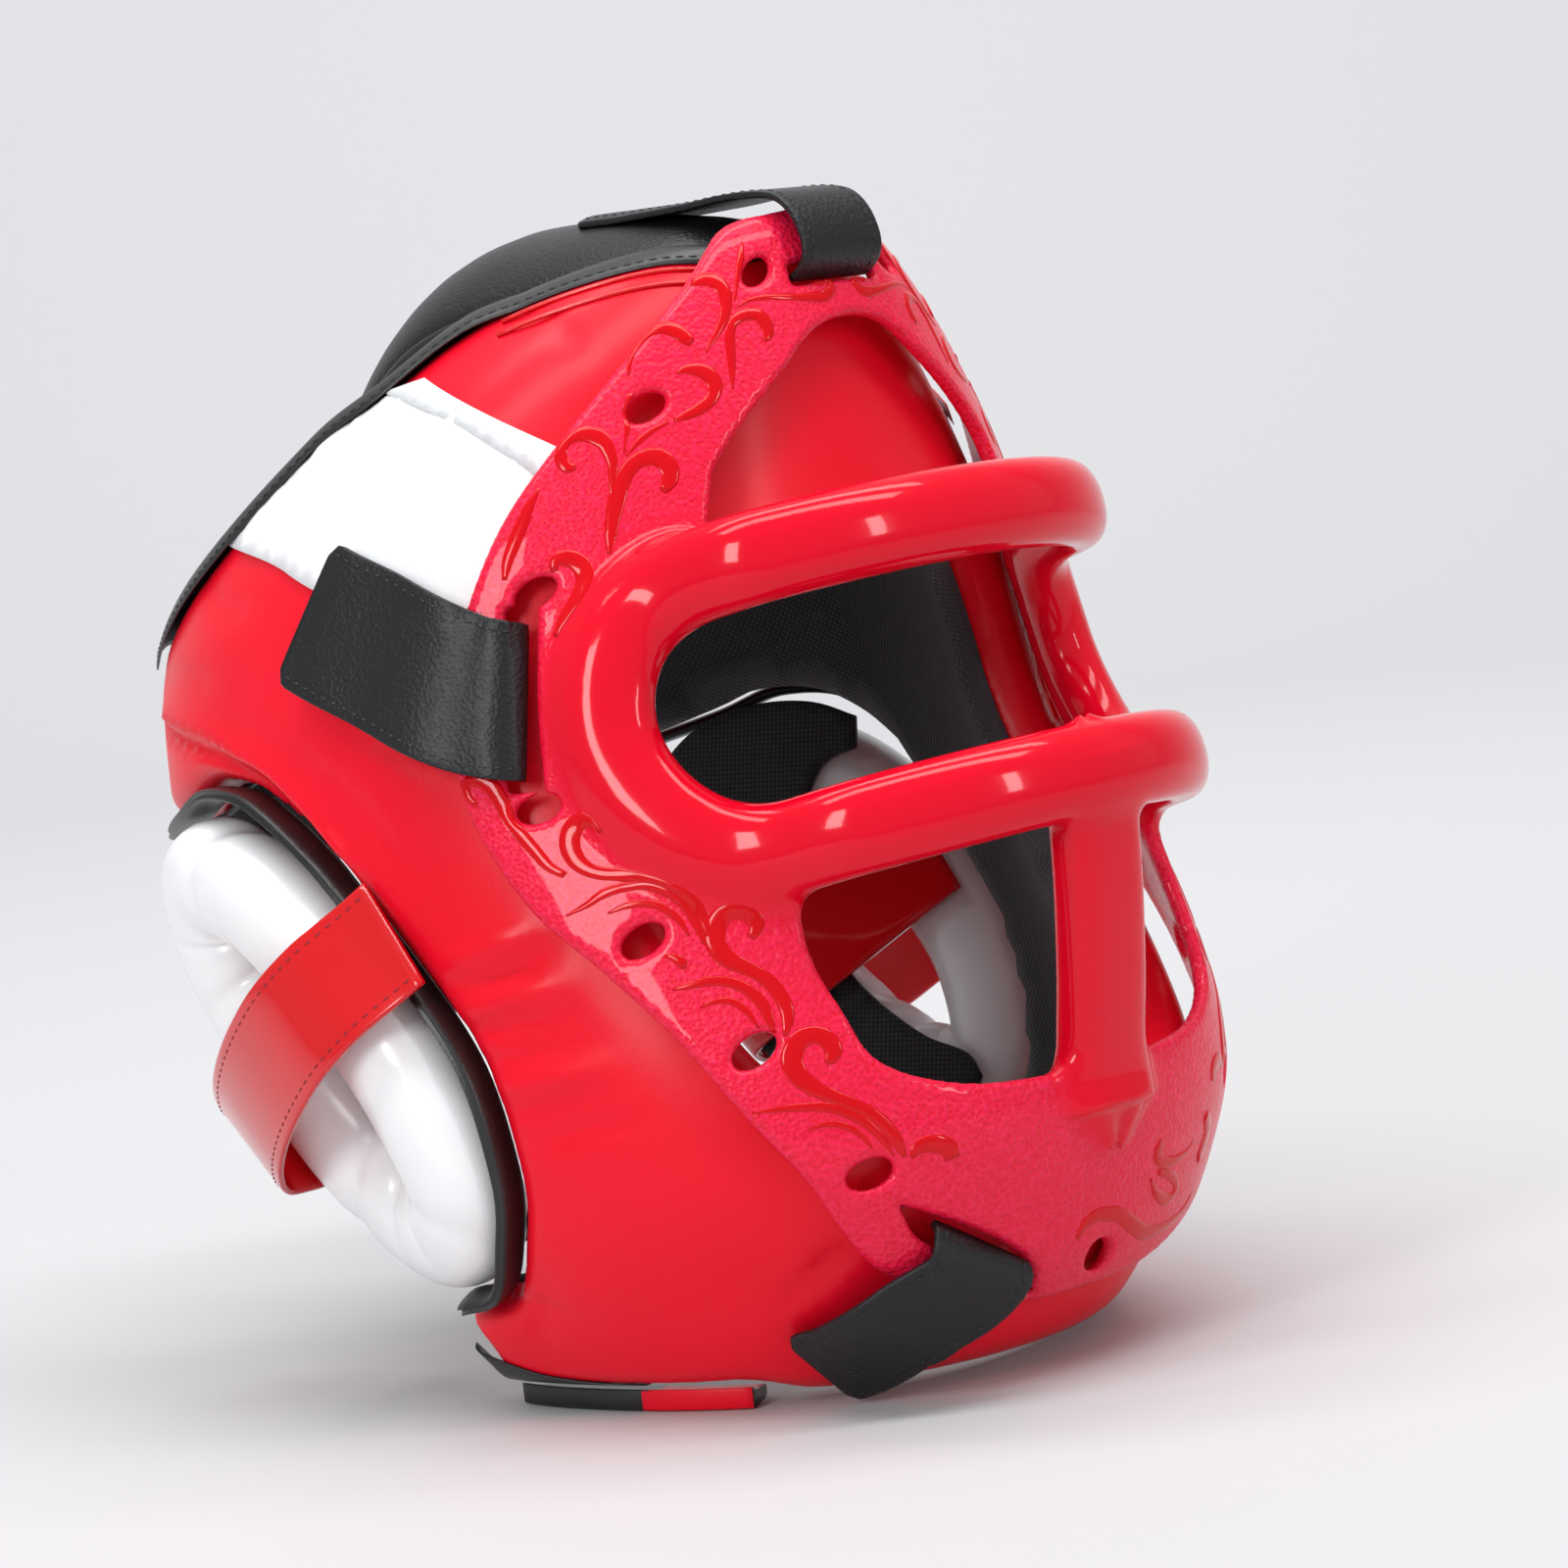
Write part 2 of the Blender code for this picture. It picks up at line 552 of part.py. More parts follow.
def ear_trim():
    """Piping between the shell's edge and the ring."""
    bite = [p for p in SHELL_EDGE[15:26]]
    phi, z = np.array([p[0] for p in bite]), np.array([p[1] for p in bite]) * HEAD_HEIGHT
    pos, nrm = PAD.at(phi, z), PAD.normal(phi, z)
    centres, frames = [], []
    for i in range(len(bite)):
        along = unit(pos[min(i + 1, len(bite) - 1)] - pos[max(i - 1, 0)])
        side = unit(np.cross(along, nrm[i]))
        if side @ (MID - pos[i]) < 0:
            side = -side
        centres.append(pos[i] + side * (TRIM_WIDTH / 2 + FIT_GAP) + nrm[i] * (-2.0))
        frames.append((side, nrm[i]))
    return sweep(centres, frames, oval(TRIM_WIDTH / 2, 4.5, 6, 2.6))


def ear_strap():
    # share of the ring's half width, height out from its middle
    steps = [(1.38, -3.4), (1.27, 0.8), (1.15, 6.4), (1.0, 12.5), (0.7, 19.0), (0.3, 22.5), (-0.1, 23.5), (-0.5, 22.0), (-0.84, 17.5),
             (-0.985, 10.0), (-1.05, 3.0), (-1.09, -4.0), (-1.09, -11.0), (-1.0, -16.2), (-0.7, -17.0), (-0.2, -16.8),
             (0.3, -16.0), (0.7, -15.2), (0.84, -14.6)]
    pts = [ear_point(-1.1 - 6.8 * w, w * EAR_WIDE, h) for w, h in steps]
    frames = []
    for i in range(len(pts)):
        along = unit(pts[min(i + 1, len(pts) - 1)] - pts[max(i - 1, 0)])
        side = unit(LONG - along * (LONG @ along))
        out = np.cross(side, along)
        frames.append((side, out))
    bar = np.array([(-1, -1), (1, -1), (1, 1), (-1, 1)]) * [EAR_STRAP_WIDTH / 2, STRAP_THICK / 2]
    return sweep(pts, frames, bar)


for side, mirrored in (('right', False), ('left', True)):
    build('ear_ring_' + side, *ear_ring(), WHITE, 0.3, mirrored)
    build('ear_backing_' + side, *ear_backing(), BLACK, 0.9, mirrored)
    build('ear_trim_' + side, *ear_trim(), BLACK, 0.5, mirrored)
    build('ear_strap_' + side, *ear_strap(), RED, 0.2, mirrored)

# ---------- black straps through the visor's slots ----------


def strap(rows, width):
    """rows: centre, out direction; a flat band of one width"""
    pts = [np.asarray(r[0], float) for r in rows]
    frames = []
    for i, r in enumerate(rows):
        along = unit(pts[min(i + 1, len(pts) - 1)] - pts[max(i - 1, 0)])
        side = unit(r[1] - along * (np.asarray(r[1]) @ along))
        out = unit(np.cross(along, side))
        frames.append((side, out))
    bar = np.array([(-1, -1), (1, -1), (1, 1), (-1, 1)]) * [width / 2, STRAP_THICK / 2]
    return sweep(pts, frames, bar)


def over(surface, phi, h, d):
    return surface.off(phi, h * HEAD_HEIGHT, np.float64(d))


def lay(surface, phi, h, d, edge):
    """A point over a surface and the strap's side direction along it."""
    n = surface.normal(phi, h * HEAD_HEIGHT)
    return over(surface, phi, h, d), unit(edge - n * (edge @ n))


def temple_strap():
    top = FIT_GAP + STRAP_THICK / 2
    edge = unit(over(VISOR, 54.0, .282, 0) - over(VISOR, 58.2, .163, 0))
    rows = [lay(PAD, p, h, PATCH_THICK + STRAP_THICK + top + 3 * FIT_GAP, edge)
            for p, h in ((84.0, .349), (78.5, .324), (72.5, .297))]
    rows.append(lay(VISOR, 66.8, .264, top + 0.6, edge))
    rows.append(lay(VISOR, 62, .240, top + 0.6, edge))
    rows.append(lay(VISOR, 57.9, .226, top + 0.6, edge))
    rows.append(lay(VISOR, 56.0, .222, -0.6, edge))
    rows.append(lay(VISOR, 55.7, .221, -VISOR_THICK + 1.0, edge))
    return strap(rows, TEMPLE_STRAP_WIDTH)


def chin_strap():
    top = FIT_GAP + STRAP_THICK / 2
    edge = unit(over(VISOR, 31.8, -.253, 0) - over(VISOR, 14.2, -.3215, 0))
    rows = [lay(PAD, 47.5, -.345, top + 0.4, edge), lay(PAD, 42.5, -.338, top + 2.2, edge),
            lay(VISOR, 37, -.331, top + 1.0, edge), lay(VISOR, 31, -.321, top + 0.7, edge),
            lay(VISOR, 25.6, -.311, top + 0.6, edge), lay(VISOR, 23.9, -.2985, top + 0.6, edge),
            lay(VISOR, 23.1, -.289, -0.7, edge), lay(VISOR, 23.0, -.288, -VISOR_THICK + 1.0, edge)]
    return strap(rows, CHIN_STRAP_WIDTH)


for side, mirrored in (('right', False), ('left', True)):
    build('temple_strap_' + side, *temple_strap(), BLACK, 0.5, mirrored)
build('chin_strap', *chin_strap(), BLACK, 0.5)

# side view, from the slot over the visor's top to the crown
# shares of the head's front and height
TOP_LINE = [
    (-.965, .5015), (-.989, .504), (-1.019, .512), (-1.031, .526), (-1.019, .550), (-.983, .568),
    (-.91, .5795), (-.81, .5885), (-.70, .5975), (-.58, .609), (-.45, .6215), (-.327, .6345)]
line = [(y * HEAD_FRONT, z * HEAD_HEIGHT) for y, z in TOP_LINE]
build('top_strap', *strap([((0, y, z), (1, 0, 0)) for y, z in line], TOP_STRAP_WIDTH), BLACK, 0.5)

# ---------- stand it as it rests, on the table at Z = 0 ----------
low, high = np.full(3, 1e9), np.full(3, -1e9)
for obj in bpy.data.objects:
    co = np.array([v.co for v in obj.data.vertices])
    y, z = co[:, 1] * math.cos(TILT) + co[:, 2] * math.sin(TILT), -co[:, 1] * math.sin(TILT) + co[:, 2] * math.cos(TILT)
    co[:, 1], co[:, 2] = y, z
    low, high = np.minimum(low, co.min(0)), np.maximum(high, co.max(0))
    obj.data.vertices.foreach_set('co', co.ravel())
for obj in bpy.data.objects:
    co = np.array([v.co for v in obj.data.vertices])
    co -= [0, (low[1] + high[1]) / 2, low[2]]
    obj.data.vertices.foreach_set('co', (co * 0.001).ravel())
    obj.data.update()
print('size mm', np.round(high - low, 1))
print('shift mm %.4f %.4f' % ((low[1] + high[1]) / 2, low[2]))
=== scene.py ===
import math

import bpy
import bmesh
import numpy as np
from mathutils import Matrix, Vector
from mathutils.geometry import delaunay_2d_cdt


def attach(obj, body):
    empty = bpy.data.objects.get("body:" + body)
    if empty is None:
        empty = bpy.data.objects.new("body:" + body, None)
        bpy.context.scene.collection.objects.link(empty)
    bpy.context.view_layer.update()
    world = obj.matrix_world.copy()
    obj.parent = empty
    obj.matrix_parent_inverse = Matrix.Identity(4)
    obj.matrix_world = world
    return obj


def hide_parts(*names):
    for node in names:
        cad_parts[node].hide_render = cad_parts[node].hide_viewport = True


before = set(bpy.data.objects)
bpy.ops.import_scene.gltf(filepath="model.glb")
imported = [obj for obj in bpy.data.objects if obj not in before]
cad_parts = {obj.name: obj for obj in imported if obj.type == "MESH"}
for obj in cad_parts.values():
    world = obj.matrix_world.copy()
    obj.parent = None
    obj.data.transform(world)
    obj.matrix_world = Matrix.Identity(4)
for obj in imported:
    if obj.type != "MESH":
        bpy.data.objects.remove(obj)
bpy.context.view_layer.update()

# Lengths are millimetres in the head's own frame (X wearer's left, Y back,
# Z up) until toRow turns them to the resting pose and to metres.
headWidth, headFront, headRear, headHeight = 198.0, 104.0, 119.0, 270.0
padThick, liningThick, visorThick, fitGap = 16.0, 1.6, 3.6, 0.4
tilt = math.radians(13.0)
rowShift = (0.0, 2.2118, 88.0011)
flat = 1.62                     # flat millimetres for each degree round the head
rearPower = 2.15                # exponent of the section behind the ears
strapThick = 1.8
sides = (("Right", False), ("Left", True))

# share of head height, half width, front, rear, exponent of the section
padTable = [
    (-0.407, 0.510, 0.630, 0.252, 2.10), (-0.370, 0.625, 0.769, 0.353, 2.12),
    (-0.296, 0.783, 0.942, 0.555, 2.20), (-0.185, 0.919, 1.048, 0.807, 2.28),
    (0.000, 0.980, 1.000, 0.941, 2.05), (0.185, 1.000, 0.904, 1.000, 1.90),
    (0.333, 0.939, 0.913, 0.983, 1.90), (0.444, 0.798, 0.913, 0.874, 1.95),
    (0.537, 0.566, 0.875, 0.655, 2.00), (0.600, 0.263, 0.712, 0.370, 2.00)]
visorTable = [
    (-0.407, 0.565, 0.693, 0.252, 2.10), (-0.370, 0.680, 0.830, 0.353, 2.12),
    (-0.296, 0.842, 1.015, 0.555, 2.20), (-0.185, 0.980, 1.125, 0.807, 2.32),
    (0.000, 1.035, 1.154, 0.941, 1.95), (0.185, 1.056, 1.058, 1.000, 1.80),
    (0.333, 0.995, 1.029, 0.983, 1.85), (0.444, 0.859, 1.010, 0.874, 1.95),
    (0.537, 0.626, 0.990, 0.655, 2.00), (0.600, 0.323, 0.885, 0.370, 2.00)]

# outlines: degrees round from the front to the wearer's right, share of height
shellEdge = [
    (0, .556), (14.5, .556), (30, .570), (46, .574), (60, .570), (70, .556), (79.4, .530), (88.8, .513),
    (96.2, .490), (106.6, .460), (118.9, .431), (128, .410), (136, .400), (137, .330), (136, .250),
    (131, .236), (119.3, .241), (110, .247), (99.4, .220), (87.6, .125), (80, .030), (76.3, -.047),
    (77.2, -.136), (80, -.182), (86.5, -.232), (95, -.236), (99.4, -.240), (100, -.268), (104, -.300)]
shellBottom = [(104.5, 1), (97, 1), (88, 1), (78, 1), (68, 1), (60, 1), (50, 0), (36, 0), (18, 0), (0, 0)]
floorDrop, lipTall, lipWide = 88.0, 3.5, 13.0
shellFace = [
    (0, .296), (25, .296), (40, .274), (46, .222), (47.5, .148), (47, .037), (44, -.074), (36, -.152),
    (20, -.190), (0, -.196)]
backEdge = [
    (180, .395), (160, .396), (145, .399), (136.25, .400), (137.25, .330), (136.25, .250), (146, .215),
    (160, .195), (180, .190)]
visorEdge = [
    (0, .562), (12.8, .560), (18, .560), (23, .552), (28.9, .514), (37.2, .467), (46.5, .415), (53.2, .373),
    (57.7, .334), (61.3, .293), (64.2, .240), (65.8, .181), (65.9, .140), (64.6, .096), (62.3, .051),
    (57.6, .001), (51.6, -.067), (46.8, -.140), (42.8, -.196), (39.6, -.257), (36.9, -.284), (29, -.318),
    (17, -.338), (0, -.343)]
visorWindow = [
    (0, .464), (8, .455), (14.8, .425), (21.6, .392), (26.6, .360), (28, .335), (30, .305), (37, .278),
    (44, .236), (46.5, .165), (44, .093), (38, .054), (34.6, .022), (34.6, -.037), (33.2, -.080),
    (30.9, -.126), (22.5, -.158), (11.6, -.170), (0, -.172)]
visorHoles = [
    (16.2, .512, 20), (34.6, .423, 10), (51.5, .302, 15), (57.8, .136, 5), (51.9, .013, 25),
    (43.7, -.093, 30), (35.5, -.208, 10)]
templeSlot = [(51.4, .291), (55.5, .297), (60.7, .155), (56.3, .147)]
chinSlot = [(33.2, -.236), (14.8, -.308), (12.6, -.338), (31.0, -.269)]
topSlot = [(0, .512), (10.4, .512), (10.2, .494), (0, .494)]
patchEdge = [
    (107, .440), (98, .466), (88.4, .492), (78.6, .505), (70.5, .503), (59.5, .4625), (48.2, .4165),
    (45.6, .402), (48, .386), (54, .315), (57, .274), (70, .318), (82, .358), (94, .404)]
stripEdge = [(77.4, .509), (69.6, .507), (47.6, .421), (43.4, .404), (47.2, .388), (60.6, .453)]


def slopes(xs, ys):
    # a curve through a table that never overshoots it
    xs, ys = np.asarray(xs, float), np.asarray(ys, float)
    h, d = np.diff(xs), np.diff(ys) / np.diff(xs)
    m = np.zeros(len(xs))
    m[0], m[-1] = d[0], d[-1]
    for i in range(1, len(xs) - 1):
        if d[i - 1] * d[i] > 0:
            a, b = 2 * h[i] + h[i - 1], h[i] + 2 * h[i - 1]
            m[i] = (a + b) / (a / d[i - 1] + b / d[i])
    return xs, ys, m


def read(curve, x):
    xs, ys, m = curve
    x = np.clip(np.asarray(x, float), xs[0], xs[-1])
    i = np.clip(np.searchsorted(xs, x) - 1, 0, len(xs) - 2)
    h = xs[i + 1] - xs[i]
    t = (x - xs[i]) / h
    return ((2 * t**3 - 3 * t**2 + 1) * ys[i] + (t**3 - 2 * t**2 + t) * h * m[i]
            + (3 * t**2 - 2 * t**3) * ys[i + 1] + (t**3 - t**2) * h * m[i + 1])


class Surface:
    def __init__(self, table):
        t = np.array(table)
        z = t[:, 0] * headHeight
        self.cols = [slopes(z, t[:, 1] * headWidth / 2), slopes(z, t[:, 2] * headFront),
                     slopes(z, t[:, 3] * headRear), slopes(z, t[:, 4])]

    def at(self, phi, z):
        phi, z = np.broadcast_arrays(np.radians(phi), np.asarray(z, float))
        w, f, r, n = [read(c, z) for c in self.cols]
        c, s = np.cos(phi), np.sin(phi)
        n = np.where(c > 0, n, rearPower)
        k = (np.abs(c)**n + np.abs(s)**n)**(-1 / n)
        return np.stack([-w * s * k, np.where(c > 0, -f * c * k, -r * c * k), z], -1)

    def normal(self, phi, z):
        a = self.at(np.asarray(phi) + 0.5, z) - self.at(np.asarray(phi) - 0.5, z)
        b = self.at(phi, np.asarray(z) + 0.5) - self.at(phi, np.asarray(z) - 0.5)
        n = np.cross(b, a)
        n = n / np.maximum(np.linalg.norm(n, axis=-1, keepdims=True), 1e-9)
        out = self.at(phi, z) * [1, 1, 0]
        return n * np.where((n * out).sum(-1, keepdims=True) < 0, -1, 1)

    def off(self, phi, z, d):
        return self.at(phi, z) + self.normal(phi, z) * np.asarray(d, float)[..., None]


pad, visorSurface = Surface(padTable), Surface(visorTable)


def unit(v):
    v = np.asarray(v, float)
    return v / np.maximum(np.linalg.norm(v, axis=-1, keepdims=True), 1e-9)


def toRow(v):
    # from the head's own frame in millimetres to the resting pose in metres
    v = np.asarray(v, float)
    c, s = math.cos(tilt), math.sin(tilt)
    turned = np.stack([v[..., 0], v[..., 1] * c + v[..., 2] * s, -v[..., 1] * s + v[..., 2] * c], -1)
    return turned * 0.001 + np.array(rowShift) * 0.001


def closedLoop(points, mirror, step, sharp=48.0):
    # a smooth closed outline through a table, kept sharp at its corners, in flat millimetres
    p = np.array([(a * flat, h * headHeight) for a, h in points])
    if mirror:
        p = np.concatenate([p, (p * [-1, 1])[::-1]])
        p = p[np.linalg.norm(p - np.roll(p, 1, 0), axis=1) > 0.05]
    n = len(p)
    a, b = unit(p - np.roll(p, 1, 0)), unit(np.roll(p, -1, 0) - p)
    corner = (a * b).sum(1) < math.cos(math.radians(sharp))
    out = []
    for i in range(n):
        p0, p1, p2, p3 = p[i - 1], p[i], p[(i + 1) % n], p[(i + 2) % n]
        length = np.linalg.norm(p2 - p1)
        m1 = (p2 - p1) if corner[i] else unit(p2 - p0) * length
        m2 = (p2 - p1) if corner[(i + 1) % n] else unit(p3 - p1) * length
        k = max(1, int(round(length / step)))
        t = (np.arange(k) / k)[:, None]
        out.append((2 * t**3 - 3 * t**2 + 1) * p1 + (t**3 - 2 * t**2 + t) * m1
                   + (3 * t**2 - 2 * t**3) * p2 + (t**3 - t**2) * m2)
    return np.concatenate(out)


def curveThrough(points, step):
    # a smooth open curve through points, at about the given step
    p = np.asarray(points, float)
    out = []
    for i in range(len(p) - 1):
        length = np.linalg.norm(p[i + 1] - p[i])
        m1 = unit(p[i + 1] - p[i - 1]) * length if i else p[1] - p[0]
        m2 = unit(p[i + 2] - p[i]) * length if i + 2 < len(p) else p[-1] - p[-2]
        k = max(1, int(round(length / step)))
        t = (np.arange(k) / k)[:, None]
        out.append((2 * t**3 - 3 * t**2 + 1) * p[i] + (t**3 - 2 * t**2 + t) * m1
                   + (3 * t**2 - 2 * t**3) * p[i + 1] + (t**3 - t**2) * m2)
    return np.concatenate(out + [p[-1:]])


def inside(points, ring):
    x, y = points[:, 0], points[:, 1]
    hit = np.zeros(len(points), bool)
    for (x1, y1), (x2, y2) in zip(ring, np.roll(ring, -1, 0)):
        hit ^= ((y1 > y) != (y2 > y)) & (x < (x2 - x1) * (y - y1) / (y2 - y1 + 1e-12) + x1)
    return hit


def clearance(points, line, closed=True):
    # distance of flat points from a line of flat points
    best = np.full(len(points), 1e9)
    a, b = (line, np.roll(line, -1, 0)) if closed else (line[:-1], line[1:])
    for p, q in zip(a, b):
        d = q - p
        t = np.clip(((points - p) @ d) / max(d @ d, 1e-12), 0, 1)
        best = np.minimum(best, ((points - p - t[:, None] * d)**2).sum(1))
    return np.sqrt(best)


class Field:
    # signed flat distance from outlines, negative in the material, on a grid
    def __init__(self, outer, holes, step=0.6, margin=12.0):
        self.low, self.step = outer.min(0) - margin, step
        n = ((outer.max(0) + margin - self.low) / step).astype(int) + 2
        gx, gy = self.low[0] + np.arange(n[0]) * step, self.low[1] + np.arange(n[1]) * step
        g = np.stack(np.meshgrid(gx, gy, indexing='ij'), -1).reshape(-1, 2)
        d = np.full(len(g), 1e9)
        solid = inside(g, outer)
        for ring in [outer] + holes:
            d = np.minimum(d, clearance(g, ring))
        for ring in holes:
            solid &= ~inside(g, ring)
        self.values = np.where(solid, -d, d).reshape(n)
        self.grads = np.gradient(self.values, step)

    def sample(self, points, table=None):
        table = self.values if table is None else table
        q = (points - self.low) / self.step
        q = np.clip(q, 0, np.array(table.shape) - 1.001)
        i = q.astype(int)
        t = q - i
        (i, j), (a, b) = i.T, t.T
        return ((table[i, j] * (1 - a) + table[i + 1, j] * a) * (1 - b)
                + (table[i, j + 1] * (1 - a) + table[i + 1, j + 1] * a) * b)


def flatMesh(outer, holes, step, fineBand=0.0):
    # triangles that fill an outline: flat points, triangles, distance from the edge
    rings = [outer] + holes
    field = Field(outer, holes, 0.8, 3.0)
    lo, hi = outer.min(0), outer.max(0)
    keep = []
    for size, low, high in ((step, max(fineBand, step * 0.45), 1e9), (step / 2, step * 0.28, fineBand)):
        if high <= low:
            continue
        nx, ny = int((hi[0] - lo[0]) / size) + 1, int((hi[1] - lo[1]) / size) + 1
        gx = (np.arange(nx + 1) - nx / 2) * size + (lo[0] + hi[0]) / 2
        gy = (np.arange(ny + 1) - ny / 2) * size + (lo[1] + hi[1]) / 2
        g = np.stack(np.meshgrid(gx, gy), -1)
        g[1::2, :, 0] += size / 2
        g = g.reshape(-1, 2)
        d = -field.sample(g)
        keep.append(g[(d > low) & (d <= high)])
    pts = np.concatenate(rings + keep)
    edges, start = [], 0
    for ring in rings:
        n = len(ring)
        edges += [(start + i, start + (i + 1) % n) for i in range(n)]
        start += n
    out = delaunay_2d_cdt([Vector(p) for p in pts], edges, [], 0, 1e-6)
    spots = np.array([tuple(v) for v in out[0]])
    tris = np.array([tuple(f) for f in out[2] if len(f) == 3])
    centre = spots[tris].mean(1)
    ok = inside(centre, outer)
    for ring in holes:
        ok &= ~inside(centre, ring)
    tris = tris[ok]
    used, back = np.unique(tris, return_inverse=True)
    spots, tris = spots[used], back.reshape(-1, 3)
    edge = np.minimum.reduce([clearance(spots, r) for r in rings])
    return spots, tris, edge


def wallOf(spots, tris, top, bottom):
    # closes two layers of the same triangles into one wall
    n = len(spots)
    edges = np.concatenate([tris[:, [0, 1]], tris[:, [1, 2]], tris[:, [2, 0]]])
    key = set(map(tuple, edges.tolist()))
    faces = tris.tolist() + (tris[:, ::-1] + n).tolist()
    faces += [(b, a, a + n, b + n) for a, b in key if (b, a) not in key]
    return np.concatenate([top, bottom]), faces


def rolled(edge, radius, depth):
    # how far a face falls towards a rounded edge
    t = np.clip(1 - edge / radius, 0, 1)
    return depth * (1 - np.sqrt(np.maximum(1 - t * t, 0)))


def sweep(centres, frames, sections, closed=False):
    centres = np.asarray(centres, float)
    sections = np.asarray(sections, float)
    if sections.ndim == 2:
        sections = np.repeat(sections[None], len(centres), 0)
    side, out = np.array([f[0] for f in frames]), np.array([f[1] for f in frames])
    rows = centres[:, None] + sections[..., :1] * side[:, None] + sections[..., 1:] * out[:, None]
    k, m = len(centres), sections.shape[1]
    faces = []
    for i in range(k if closed else k - 1):
        j = (i + 1) % k
        for a in range(m):
            b = (a + 1) % m
            faces.append((i * m + a, i * m + b, j * m + b, j * m + a))
    if not closed:
        faces.append(tuple(range(m))[::-1])
        faces.append(tuple((k - 1) * m + a for a in range(m)))
    return rows.reshape(-1, 3), faces


def tubeFaces(k, m):
    # faces of a closed tube of k sections with m points each
    faces = [(i * m + a, i * m + (a + 1) % m, (i + 1) * m + (a + 1) % m, (i + 1) * m + a)
             for i in range(k - 1) for a in range(m)]
    return faces + [tuple(range(m))[::-1], tuple((k - 1) * m + a for a in range(m))]


def joined(parts):
    # several closed shapes as the points and faces of one piece
    verts, faces, count = [], [], 0
    for v, f in parts:
        verts.append(v)
        faces += [tuple(i + count for i in face) for face in f]
        count += len(v)
    return np.concatenate(verts), faces


def oval(halfA, halfB, n, power=2.0):
    t = (np.arange(n) + 0.5) / n * 2 * math.pi
    c, s = np.cos(t), np.sin(t)
    return np.stack([halfA * np.sign(c) * np.abs(c)**(2 / power), halfB * np.sign(s) * np.abs(s)**(2 / power)], -1)


def piece(name, verts, faces, material, smooth=True, mirrored=False):
    verts = np.asarray(verts, float)
    if mirrored:
        verts = verts * [-1, 1, 1]
    mesh = bpy.data.meshes.new(name)
    mesh.from_pydata(toRow(verts).tolist(), [], [list(f) for f in faces])
    obj = bpy.data.objects.new(name, mesh)
    bpy.context.scene.collection.objects.link(obj)
    bm = bmesh.new()
    bm.from_mesh(mesh)
    bmesh.ops.recalc_face_normals(bm, faces=bm.faces)
    bm.to_mesh(mesh)
    bm.free()
    for p in mesh.polygons:
        p.use_smooth = smooth
    mesh.materials.append(material)
    return obj


def weaveMap(obj, spots, edge, hem):
    # lays the weave out in metres, and marks the hem along the cloth's edge
    layer = obj.data.uv_layers.new(name="weave")
    where = np.concatenate([spots, spots]) * 0.001
    loops = np.array([loop.vertex_index for loop in obj.data.loops])
    layer.data.foreach_set("uv", where[loops].ravel())
    mark = np.clip((hem - np.concatenate([edge, edge])) / 1.0, 0, 1).astype(np.float32)
    obj.data.attributes.new("hem", "FLOAT", "POINT").data.foreach_set("value", mark)


def rides(obj):
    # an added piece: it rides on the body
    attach(obj, "root")
    return obj


def stands(obj, *nodes):
    # the piece rides on the body and is shown in the place of the named nodes
    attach(obj, "root")
    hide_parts(*nodes)
    return obj


def linear(text):
    c = [int(text[i:i + 2], 16) / 255 for i in (1, 3, 5)]
    return tuple(v / 12.92 if v <= 0.04045 else ((v + 0.055) / 1.055)**2.4 for v in c) + (1.0,)


def node(tree, kind, links=None, **settings):
    # adds a node: settings are its properties, links its inputs (values or sockets)
    n = tree.nodes.new(kind)
    for key, value in settings.items():
        setattr(n, key, value)
    for key, value in (links or {}).items():
        if isinstance(value, bpy.types.NodeSocket):
            tree.links.new(value, n.inputs[key])
        else:
            n.inputs[key].default_value = value
    return n


def surfaceOf(name, color, rough, coat=0.0, coatRough=0.1, sheen=0.0, specular=0.5):
    mat = bpy.data.materials.new(name)
    mat.use_nodes = True
    shader = mat.node_tree.nodes["Principled BSDF"]
    shader.inputs["Base Color"].default_value = linear(color)
    shader.inputs["Roughness"].default_value = rough
    shader.inputs["Coat Weight"].default_value = coat
    shader.inputs["Coat Roughness"].default_value = coatRough
    shader.inputs["Sheen Weight"].default_value = sheen
    shader.inputs["Specular IOR Level"].default_value = specular
    return mat, mat.node_tree, shader


def leather(name, color, shade, rough, grain=0.9, depth=0.12, creases=0.15, **rest):
    # coated leather: a fine pebble (grain in mm), soft creases, a slow change between two colours
    mat, tree, shader = surfaceOf(name, color, rough, **rest)
    coord = node(tree, "ShaderNodeTexCoord").outputs["Object"]
    pebble = node(tree, "ShaderNodeTexVoronoi", {"Vector": coord, "Scale": 1000 / grain, "Randomness": 1.0},
                  feature="SMOOTH_F1")
    soft = node(tree, "ShaderNodeTexNoise", {"Vector": coord, "Scale": 70.0, "Detail": 3.0})
    slow = node(tree, "ShaderNodeTexNoise", {"Vector": coord, "Scale": 22.0, "Detail": 2.0})
    dyeAndSheen = node(tree, "ShaderNodeMix", {0: slow.outputs["Fac"], 6: linear(color), 7: linear(shade)},
               data_type="RGBA")
    tree.links.new(dyeAndSheen.outputs[2], shader.inputs["Base Color"])
    fine = node(tree, "ShaderNodeBump", {"Height": pebble.outputs["Distance"], "Strength": depth, "Distance": 0.0003})
    wide = node(tree, "ShaderNodeBump", {"Height": soft.outputs["Fac"], "Strength": creases, "Distance": 0.001,
                                         "Normal": fine.outputs["Normal"]})
    tree.links.new(wide.outputs["Normal"], shader.inputs["Normal"])
    return mat


